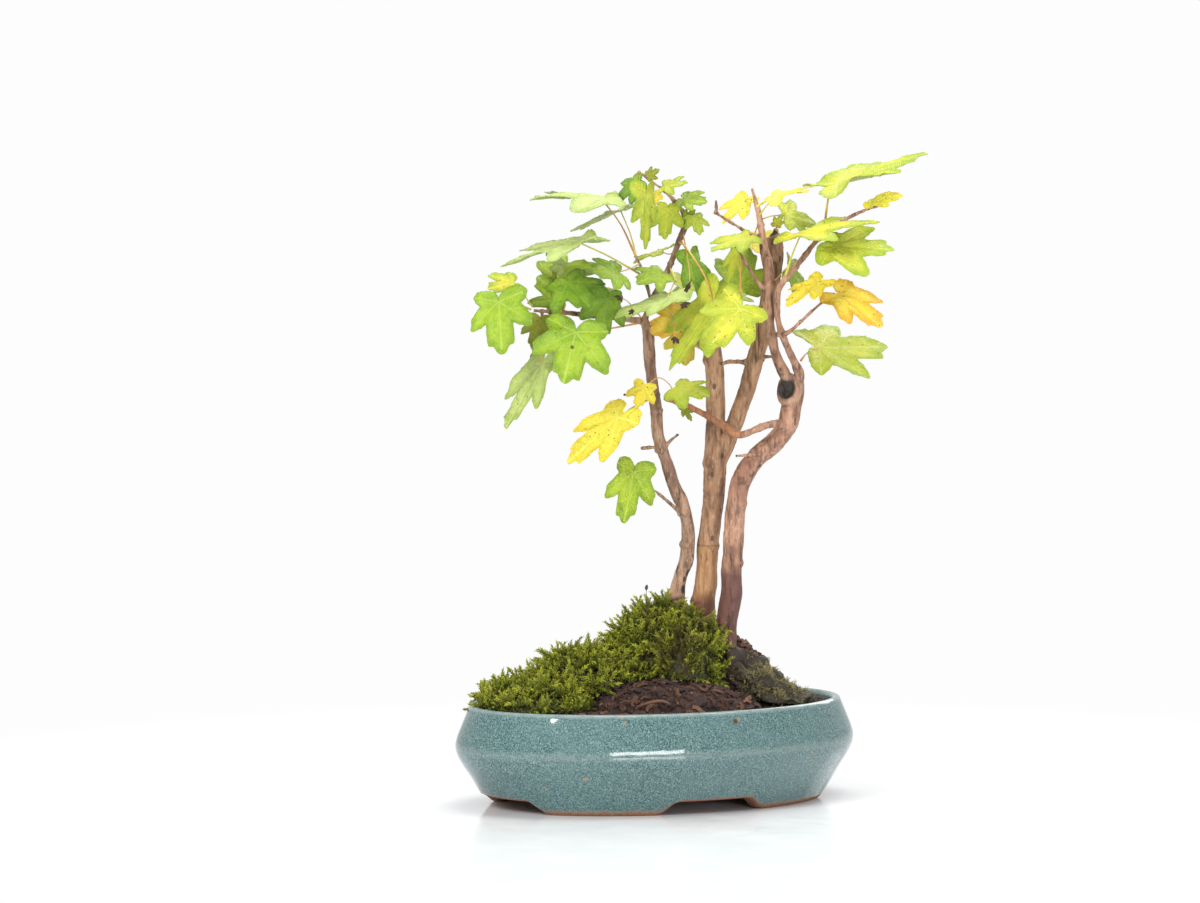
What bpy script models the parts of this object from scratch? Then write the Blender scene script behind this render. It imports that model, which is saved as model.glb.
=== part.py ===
"""A clump-style field maple bonsai in an oval glazed pot.

Frame: metres, +Z up, the tree's front faces -Y. The pot stands on z = 0 and the
origin is the centre of the whole object's footprint. Lengths below are in
millimetres and become metres where a mesh is made.
"""

import math

import bmesh
import bpy
from mathutils import Matrix, Vector

MM = 0.001
GAP = 0.35                      # clearance between pieces that touch

# Pot: an oval whose depth is a fixed share of its length
POT_TURN = math.radians(27.5)   # its right end points away from the front
OVAL = 0.674
RIM_A = 99.7
SHOULDER_A = 107.2
BASE_A = 89.0
RIM_Z = 50.5
SHOULDER_Z = 31.0
WALL = 5.0
FLOOR_Z = 10.5
RECESS_Z = 7.0
ARCH_Z = 6.4                    # height of the gaps between the feet
FRONT_ARCH = (30.0, 18.5)       # half widths of a gap at the table and at its top
END_ARCH = (31.0, 24.0)
DRAIN_X = 40.0
DRAIN_R = 7.0
ROUND_STEPS = 56

# Planting
SOIL_Z = 47.5
SCREEN_SIDE = 24.0
SCREEN_THICK = 0.8
STEM_FOOT_Z = 36.0

# Leaves
LEAF_THICK = 0.5
STALK_WIDTH = 0.9
STALK_STEPS = 5

# The crown reaches further to the right than the pot, so the pot stands off centre
FRAME_SHIFT = Vector((-18.8, 0.0, 0.0))


def clear_scene():
    for old in list(bpy.data.objects):
        bpy.data.objects.remove(old, do_unlink=True)


def new_collection(name):
    collection = bpy.data.collections.new(name)
    bpy.context.scene.collection.children.link(collection)
    return collection


clear_scene()
PARTS = new_collection("bonsai_tree_in_pot")
CUTTERS = new_collection("cutters")

ORIGIN = bpy.data.objects.new("origin", None)
ORIGIN.location = FRAME_SHIFT * MM
PARTS.objects.link(ORIGIN)


def material(name, colour, roughness):
    made = bpy.data.materials.get(name)
    if made is None:
        made = bpy.data.materials.new(name)
        made.use_nodes = True
        shader = made.node_tree.nodes["Principled BSDF"]
        shader.inputs["Base Color"].default_value = (*colour, 1.0)
        shader.inputs["Roughness"].default_value = roughness
        shader.inputs["Metallic"].default_value = 0.0
        made.diffuse_color = (*colour, 1.0)
    return made


def part(name, mesh, finish):
    """A visible piece of the object, standing on the shared origin."""
    made = bpy.data.objects.new(name, mesh)
    mesh.materials.clear()
    mesh.materials.append(finish)
    made.parent = ORIGIN
    PARTS.objects.link(made)
    return made


def helper(name, mesh):
    """A cutter or a piece to be joined: never rendered."""
    made = bpy.data.objects.new(name, mesh)
    made.parent = ORIGIN
    made.hide_render = True
    made.display_type = "WIRE"
    CUTTERS.objects.link(made)
    return made


def boolean(target, tool, operation):
    cut = target.modifiers.new(operation.lower() + "_" + tool.name, "BOOLEAN")
    cut.operation = operation
    cut.object = tool
    cut.solver = "EXACT"


def evaluated_mesh(maker):
    """The finished mesh of an object, which is then removed."""
    graph = bpy.context.evaluated_depsgraph_get()
    mesh = bpy.data.meshes.new_from_object(maker.evaluated_get(graph))
    bpy.data.objects.remove(maker, do_unlink=True)
    work = bmesh.new()
    work.from_mesh(mesh)
    bmesh.ops.remove_doubles(work, verts=work.verts, dist=1e-6)
    work.to_mesh(mesh)
    work.free()
    return mesh


def turned_mesh(name, profile, depth_ratio):
    """An oval turned shape: the profile runs down the outer side, top to bottom."""
    line = bpy.data.meshes.new(name)
    points = [(x * MM, 0.0, z * MM) for x, z in profile]
    line.from_pydata(points, [(i, i + 1) for i in range(len(points) - 1)], [])
    maker = bpy.data.objects.new(name + "_profile", line)
    PARTS.objects.link(maker)
    screw = maker.modifiers.new("turn", "SCREW")
    screw.steps = ROUND_STEPS
    screw.render_steps = ROUND_STEPS
    screw.use_merge_vertices = True
    screw.merge_threshold = 0.00001
    mesh = evaluated_mesh(maker)
    stretch = Matrix.Diagonal((1.0, depth_ratio, 1.0, 1.0))
    mesh.transform(Matrix.Rotation(POT_TURN, 4, "Z") @ stretch)
    mesh.shade_smooth()
    mesh.set_sharp_from_angle(angle=math.radians(40))
    return mesh


def oval_ratio(long_half, inset):
    """Depth to length for an oval set evenly inside the outer one."""
    return (long_half * OVAL - inset) / (long_half - inset)


# ---------------------------------------------------------------- pot

def prism_mesh(name, half_low, half_high, along_y):
    """A trapezoid bar through the foot ring, narrower at its top."""
    reach = 1.3 * SHOULDER_A
    bpy.ops.mesh.primitive_cube_add(size=1.0)
    maker = bpy.context.object
    mesh = maker.data
    low_z = -4.0
    slope = (half_low - half_high) / ARCH_Z
    for vert in mesh.vertices:
        top = vert.co.z > 0
        half = half_high if top else half_low - slope * low_z
        x = math.copysign(half, vert.co.x)
        y = math.copysign(reach, vert.co.y)
        z = ARCH_Z if top else low_z
        vert.co = Vector((x, y, z)) * MM
    mesh = evaluated_mesh(maker)
    mesh.name = name
    turn = POT_TURN if along_y else POT_TURN + math.pi / 2
    mesh.transform(Matrix.Rotation(turn, 4, "Z"))
    return mesh


def disc_mesh(name, radius, thickness, sides, centre):
    bpy.ops.mesh.primitive_cylinder_add(vertices=sides, radius=radius * MM,
                                        depth=thickness * MM)
    maker = bpy.context.object
    mesh = evaluated_mesh(maker)
    mesh.name = name
    mesh.transform(Matrix.Translation(Vector(centre) * MM))
    return mesh


def turned_place(x, y, z):
    """A place given along the pot's own axes."""
    return Matrix.Rotation(POT_TURN, 3, "Z") @ Vector((x, y, z))


def make_pot():
    glaze = material("blue_green_glaze", (0.13, 0.25, 0.25), 0.18)
    outer = [(0.0, RIM_Z), (RIM_A - 2.5, RIM_Z), (RIM_A - 0.7, RIM_Z - 0.8),
             (RIM_A, RIM_Z - 2.5), (RIM_A + 1.2, RIM_Z - 6.0),
             (SHOULDER_A - 0.7, SHOULDER_Z + 3.0), (SHOULDER_A, SHOULDER_Z),
             (SHOULDER_A - 1.2, SHOULDER_Z - 3.5), (100.5, 17.5), (BASE_A + 1.2, 1.6),
             (BASE_A, 0.0), (0.0, 0.0)]
    pot = part("pot", turned_mesh("pot", outer, OVAL), glaze)
    mouth_a = RIM_A - WALL
    inner = [(0.0, RIM_Z + 8.0), (mouth_a, RIM_Z + 8.0), (mouth_a, RIM_Z - 1.0),
             (SHOULDER_A - WALL - 1.0, SHOULDER_Z), (94.0, 17.5), (84.0, FLOOR_Z),
             (0.0, FLOOR_Z)]
    hollow = helper("pot_hollow", turned_mesh("pot_hollow", inner,
                                              oval_ratio(RIM_A, WALL)))
    ring_a = BASE_A - 7.0
    below = [(0.0, RECESS_Z), (ring_a - 1.0, RECESS_Z), (ring_a, RECESS_Z - 1.0),
             (ring_a, -5.0), (0.0, -5.0)]
    recess = helper("pot_recess", turned_mesh("pot_recess", below,
                                              oval_ratio(BASE_A, 7.0)))
    boolean(pot, hollow, "DIFFERENCE")
    boolean(pot, recess, "DIFFERENCE")
    front = prism_mesh("front_arch", *FRONT_ARCH, along_y=True)
    boolean(pot, helper("front_arch", front), "DIFFERENCE")
    ends = prism_mesh("end_arch", *END_ARCH, along_y=False)
    boolean(pot, helper("end_arch", ends), "DIFFERENCE")
    for side in (-1, 1):
        name = "drain_hole_left" if side < 0 else "drain_hole_right"
        centre = turned_place(side * DRAIN_X, 0.0, FLOOR_Z)
        hole = disc_mesh(name, DRAIN_R, 20.0, 20, centre)
        boolean(pot, helper(name, hole), "DIFFERENCE")


def make_screens():
    mesh_plastic = material("screen_plastic", (0.03, 0.04, 0.03), 0.6)
    for side in (-1, 1):
        name = "drain_screen_left" if side < 0 else "drain_screen_right"
        centre = turned_place(side * DRAIN_X, 0.0, FLOOR_Z + GAP + SCREEN_THICK / 2)
        plate = disc_mesh(name, SCREEN_SIDE / 2, SCREEN_THICK, 16, centre)
        part(name, plate, mesh_plastic)


# ---------------------------------------------------------------- stems

def along(points, count):
    """Points of a smooth curve through the route's own points."""
    route = [Vector(p) for p in points]
    route = [2 * route[0] - route[1]] + route + [2 * route[-1] - route[-2]]
    smooth = []
    for i in range(1, len(route) - 2):
        a, b, c, d = route[i - 1:i + 3]
        for step in range(count):
            t = step / count
            smooth.append(0.5 * (2 * b + (c - a) * t + (2 * a - 5 * b + 4 * c - d) * t * t
                                 + (3 * b - a - 3 * c + d) * t ** 3))
    return smooth + [route[-2]]


def tube_mesh(name, points, radii, sides=8, smooth=1):
    """A tapering limb: radii are given at its points."""
    if smooth > 1:
        widths = along([(r, 0.0, 0.0) for r in radii], smooth)
        radii = [w.x for w in widths]
        points = along(points, smooth)
    curve = bpy.data.curves.new(name, "CURVE")
    curve.dimensions = "3D"
    curve.bevel_depth = MM
    curve.bevel_resolution = sides // 2 - 2
    curve.use_fill_caps = True
    spline = curve.splines.new("POLY")
    spline.points.add(len(points) - 1)
    for point, place, radius in zip(spline.points, points, radii):
        point.co = (*(Vector(place) * MM), 1.0)
        point.radius = radius
    maker = bpy.data.objects.new(name, curve)
    PARTS.objects.link(maker)
    return evaluated_mesh(maker)


def joined(name, limbs, finish):
    """One grown piece: a trunk with its limbs united to it."""
    trunk = part(name, limbs[0], finish)
    for number, limb in enumerate(limbs[1:], start=1):
        boolean(trunk, helper(f"{name}_limb_{number}", limb), "UNION")
    return trunk


LEFT_STEM = [(13, 24, STEM_FOOT_Z), (12, 24, 70), (10.8, 24, 100), (12.5, 23, 110),
             (15.8, 22, 120), (16.2, 21, 133), (14.3, 20, 145), (8.8, 18, 158),
             (4.3, 16, 171), (1.3, 14, 181.5), (0.3, 13, 193), (-1.3, 12, 206),
             (-3.3, 11, 222), (-4.0, 11, 235), (-6.4, 10, 242)]
LEFT_STEM_R = [4.6, 4.3, 3.9, 3.7, 3.5, 3.4, 3.3, 3.2, 3.1, 3.1, 3.0, 3.0, 2.9, 2.8, 2.2]
LEFT_BRANCH = [(-5.5, 10, 240), (-13, 8, 241), (-20, 6, 242), (-34, 4, 243),
               (-46.8, 2, 244.7), (-61.3, 0, 245.7)]
LEFT_BRANCH_R = [1.7, 1.6, 1.5, 1.3, 1.5, 0.9]
LEFT_TOP = [(-6.2, 10, 240), (-1.8, 12, 251), (3.8, 14, 261), (7.3, 15, 269),
            (10.8, 16, 278), (14.8, 17, 288.5), (14.0, 16, 294), (9.3, 13, 300),
            (4.8, 11, 305), (-0.8, 9, 309), (-7.3, 8, 314)]
LEFT_TOP_R = [1.9, 1.7, 1.6, 1.5, 1.5, 1.7, 1.6, 1.1, 0.9, 0.8, 0.6]
LEFT_TWIGS = [
    ([(-5.0, 11, 239), (-3.3, 7, 252), (-7.8, 4, 267), (-10.3, 2, 272.5)], [1.2, 0.9, 0.8, 0.7]),
    ([(-57.0, 0, 245.4), (-57.2, -1, 241), (-56.3, -1, 237.5)], [1.0, 0.8, 0.6]),
    ([(14.5, 20, 141), (6.0, 15, 149), (-2.8, 9, 156.7)], [1.3, 0.9, 0.7]),
    ([(-1.0, 13, 201), (-8.0, 10, 202.5), (-15.8, 8, 203.2)], [1.0, 0.7, 0.5]),
    ([(3.5, 15, 176), (-2.0, 12, 176.5), (-6.8, 10, 176.2)], [1.2, 0.8, 0.5]),
    ([(3.0, 16, 173), (6.5, 14, 179), (10.8, 13, 182.7)], [1.2, 0.8, 0.5]),
]

MIDDLE_STEM = [(23, 30, STEM_FOOT_Z), (23.5, 29, 70), (24.3, 28, 98), (25.8, 27, 110),
               (26.3, 26, 126), (28.3, 25, 142), (29.3, 24, 156), (30.2, 23, 170),
               (30.0, 23, 182), (30.3, 23, 197), (29.8, 23, 212), (28.5, 23, 224),
               (27.8, 23, 231)]
MIDDLE_STEM_R = [6.6, 6.4, 6.0, 5.6, 5.4, 5.4, 5.6, 5.9, 5.0, 4.8, 4.6, 4.6, 4.2]
MIDDLE_LIMBS = [
    ([(30.5, 23, 165), (35.3, 22, 177), (41.3, 21, 192), (46.3, 20, 207), (50.3, 19, 221.5),
      (53.6, 18, 233), (56.2, 17, 246), (58.0, 16, 259), (59.2, 15, 271), (59.6, 15, 282)],
     [4.4, 4.4, 4.3, 4.3, 4.3, 4.4, 4.6, 4.7, 4.8, 4.5]),
    ([(59.6, 15, 280), (60.3, 15, 286.5)], [1.8, 1.3]),
    ([(27.8, 23, 228), (27.5, 24, 240), (27.2, 25, 253)], [3.0, 2.4, 2.0]),
    ([(28.5, 23, 222), (22.5, 20, 228), (19.3, 19, 233)], [2.0, 1.6, 1.3]),
    ([(46.0, 20, 219), (38.0, 19, 219.5), (33.5, 18, 218.5)], [1.5, 1.2, 0.8]),
    ([(50.0, 19, 221), (55.5, 15, 222), (59.0, 13, 222)], [1.4, 1.0, 0.8]),
]

RIGHT_STEM = [(35.5, 14, STEM_FOOT_Z), (35.5, 14, 65), (35.3, 14, 84), (38.0, 14, 103),
              (38.3, 14, 118), (39.3, 14, 133), (40.4, 14, 148), (43.5, 13, 161),
              (50.3, 12, 171), (59.8, 10, 179.5), (65.8, 9, 188), (68.0, 8, 197),
              (69.6, 7, 206), (70.8, 6, 212)]
RIGHT_STEM_R = [6.4, 6.2, 5.6, 5.4, 5.2, 5.2, 5.1, 5.1, 5.1, 5.2, 5.2, 5.1, 4.6, 3.4]
RIGHT_LIMBS = [
    ([(68.8, 7, 203), (65.6, 4, 211), (60.5, 1, 222), (57.5, -1, 233.5), (56.6, -1, 246),
      (56.6, 0, 258), (55.9, 2, 267.5), (53.8, 4, 277), (52.3, 6, 288.5), (50.4, 7, 298),
      (47.8, 8, 306.7)],
     [3.4, 3.0, 2.6, 2.4, 2.3, 2.3, 2.6, 2.0, 1.7, 1.3, 0.8]),
    ([(70.2, 6, 208), (71.5, 2, 214.5), (65.5, -5, 227), (61.6, -8, 237), (60.2, -9, 246),
      (60.4, -9, 254.5), (63.3, -8, 260.5), (68.8, -7, 267), (73.0, -6, 272), (80.8, -4, 281.7),
      (90.5, -2, 289), (101.3, 0, 294.7), (111.8, 2, 298.2)],
     [3.2, 2.4, 1.9, 1.7, 1.6, 1.7, 1.7, 1.6, 1.5, 1.3, 1.1, 1.0, 0.7]),
    ([(64.0, 7, 187.5), (60.0, 1, 189), (53.3, -1, 187.7), (45.3, 2, 184.2), (40.3, 5, 183.5),
      (34.3, 10, 187.2), (24.3, 12, 193), (14.3, 10, 198), (5.6, 8.5, 201.2)],
     [2.4, 2.0, 1.9, 1.8, 1.9, 1.7, 1.6, 1.6, 1.5]),
    ([(55.3, 9.5, 174.5), (49.3, 4, 173.4), (44.5, 3, 173.0), (40.6, 3, 172.7)],
     [1.6, 1.1, 0.9, 0.7]),
    ([(56.2, 1, 257), (52.0, -3, 258), (45.4, -5, 268), (38.8, -6, 279)], [1.4, 1.1, 1.0, 0.8]),
    ([(52.5, 5, 282), (46.8, 2, 284), (37.5, 0, 289.5), (28.8, -2, 295)], [1.3, 1.0, 0.9, 0.7]),
    ([(30.2, -2, 294.4), (29.6, -2, 300.7)], [0.7, 0.5]),
    ([(62.6, -7.5, 233.5), (67.0, -9, 236), (71.8, -10, 240.5), (80.8, -10, 248.7),
      (83.5, -10, 250.5)], [1.2, 1.0, 0.9, 0.8, 0.6]),
]
SCAR_CENTRE = (66.0, 4.2, 206.0)
SCAR_AWAY = (-0.55, -0.8, 0.2)


def limb_meshes(name, limbs):
    return [tube_mesh(f"{name}_{n}", points, radii, sides=8 if max(radii) > 2.2 else 6)
            for n, (points, radii) in enumerate(limbs)]


def make_stems():
    left_bark = material("bark_left", (0.24, 0.15, 0.10), 0.75)
    middle_bark = material("bark_middle", (0.30, 0.19, 0.12), 0.75)
    right_bark = material("bark_right", (0.27, 0.15, 0.11), 0.75)
    trunk = tube_mesh("left_trunk", LEFT_STEM, LEFT_STEM_R)
    branches = [(LEFT_BRANCH, LEFT_BRANCH_R), (LEFT_TOP, LEFT_TOP_R)] + LEFT_TWIGS
    joined("stem_left", [trunk] + limb_meshes("left", branches), left_bark)
    trunk = tube_mesh("middle_trunk", MIDDLE_STEM, MIDDLE_STEM_R)
    joined("stem_middle", [trunk] + limb_meshes("middle", MIDDLE_LIMBS), middle_bark)
    trunk = tube_mesh("right_trunk", RIGHT_STEM, RIGHT_STEM_R)
    scar = scar_mesh()
    joined("stem_right", [trunk] + limb_meshes("right", RIGHT_LIMBS) + [scar], right_bark)


def scar_mesh():
    """The callus round an old pruning cut: an oval lip with a dished middle."""
    bpy.ops.mesh.primitive_torus_add(major_segments=16, minor_segments=6,
                                     major_radius=3.9 * MM, minor_radius=1.7 * MM)
    mesh = evaluated_mesh(bpy.context.object)
    facing = Vector(SCAR_AWAY).to_track_quat("Z", "Y").to_matrix().to_4x4()
    stretch = Matrix.Diagonal((1.0, 1.35, 1.0, 1.0))
    mesh.transform(Matrix.Translation(Vector(SCAR_CENTRE) * MM) @ facing @ stretch)
    return mesh


# ---------------------------------------------------------------- soil and moss

# Centre and half sizes: the peat under the trunks, and the bank of soil before it
PEAT = ((29, 22, 48), (33, 30, 33))
SOIL_BANK = ((4, -20, 44), (50, 27, 17))
MOSS_LUMPS = {
    "moss_left": [((-60, -24, 46), (33, 33, 15)), ((-35, 4, 46), (32, 40, 28))],
    "moss_centre": [((3, 24, 46), (32, 38, 50)), ((15, 12, 56), (22, 32, 34))],
}
DRY_LUMP = ((56, 2, 55), (31, 20, 13), 33.0)  # centre, half sizes, lean in degrees


def ball_mesh(name, centre, halves, lean=0.0, grow=0.0):
    bpy.ops.mesh.primitive_uv_sphere_add(segments=20, ring_count=12, radius=1.0)
    mesh = evaluated_mesh(bpy.context.object)
    mesh.name = name
    size = Matrix.Diagonal((*((h + grow) * MM for h in halves), 1.0))
    turn = Matrix.Rotation(math.radians(lean), 4, "Y")
    mesh.transform(Matrix.Translation(Vector(centre) * MM) @ turn @ size)
    mesh.shade_smooth()
    return mesh


def stem_holes(target, name):
    """Room for each trunk where it goes down through the planting."""
    trunks = ((LEFT_STEM, LEFT_STEM_R), (MIDDLE_STEM, MIDDLE_STEM_R),
              (RIGHT_STEM, RIGHT_STEM_R))
    for number, (points, radii) in enumerate(trunks):
        foot = Vector(points[0]) - Vector((0, 0, GAP))
        route = [foot] + [Vector(p) for p in points[1:7]]
        wide = [r + GAP for r in radii[:7]]
        hole = tube_mesh(f"{name}_hole_{number}", route, wide)
        boolean(target, helper(f"{name}_hole_{number}", hole), "DIFFERENCE")


def make_soil():
    earth = material("dark_soil", (0.035, 0.022, 0.017), 0.95)
    edge_a = RIM_A - WALL - 1.2
    profile = [(0.0, SOIL_Z), (80.0, SOIL_Z), (edge_a - 3.0, SOIL_Z - 0.8),
               (edge_a, SOIL_Z - 3.0), (SHOULDER_A - WALL - 3.5, SHOULDER_Z),
               (91.5, 18.0), (82.0, FLOOR_Z + 2 * GAP + SCREEN_THICK),
               (0.0, FLOOR_Z + 2 * GAP + SCREEN_THICK)]
    mesh = turned_mesh("soil", profile, oval_ratio(RIM_A, WALL + 1.2))
    soil = part("soil", mesh, earth)
    boolean(soil, helper("peat_mound", ball_mesh("peat_mound", *PEAT)), "UNION")
    bank = ball_mesh("soil_bank", *SOIL_BANK)
    boolean(soil, helper("soil_bank", bank), "UNION")
    stem_holes(soil, "soil")


def inside_rim(name):
    """The space above the soil that moss may fill without touching the rim."""
    a = RIM_A - WALL - 0.6
    profile = [(0.0, 140.0), (a, 140.0), (a, SOIL_Z + GAP), (0.0, SOIL_Z + GAP)]
    return turned_mesh(name, profile, oval_ratio(RIM_A, WALL + 0.6))


def make_moss():
    green = material("green_moss", (0.12, 0.20, 0.02), 0.9)
    olive = material("dry_moss", (0.16, 0.15, 0.06), 0.95)
    left = part("moss_left", ball_mesh("moss_left", *MOSS_LUMPS["moss_left"][0]), green)
    centre = part("moss_centre", ball_mesh("moss_centre", *MOSS_LUMPS["moss_centre"][0]),
                  green)
    for lump in (left, centre):
        more = MOSS_LUMPS[lump.name][1]
        name = lump.name + "_more"
        boolean(lump, helper(name, ball_mesh(name, *more)), "UNION")
    for number, ball in enumerate(MOSS_LUMPS["moss_left"]):
        name = f"centre_clears_left_{number}"
        boolean(centre, helper(name, ball_mesh(name, *ball, grow=GAP)), "DIFFERENCE")
    place, halves, lean = DRY_LUMP
    dry = part("moss_dry_right", ball_mesh("moss_dry_right", place, halves, lean), olive)
    for number, ball in enumerate(MOSS_LUMPS["moss_centre"]):
        name = f"dry_clears_centre_{number}"
        boolean(dry, helper(name, ball_mesh(name, *ball, grow=GAP)), "DIFFERENCE")
    for lump in (left, centre, dry):
        name = lump.name + "_bound"
        boolean(lump, helper(name, inside_rim(name)), "INTERSECT")
        name = lump.name + "_peat"
        boolean(lump, helper(name, ball_mesh(name, *PEAT, grow=GAP)), "DIFFERENCE")
        name = lump.name + "_bank"
        boolean(lump, helper(name, ball_mesh(name, *SOIL_BANK, grow=GAP)), "DIFFERENCE")
        stem_holes(lump, lump.name)


# ---------------------------------------------------------------- leaves

# A five-lobed blade, half of it: degrees from the tip's direction, and reach from
# the stalk's joint as a share of the blade's length. The other half mirrors it.
BLADE = [(0, 1.0), (12, 0.87), (21, 0.69), (32, 0.53), (44, 0.77), (54, 0.86),
         (67, 0.68), (83, 0.46), (101, 0.56), (116, 0.56), (142, 0.32), (168, 0.12)]

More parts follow.
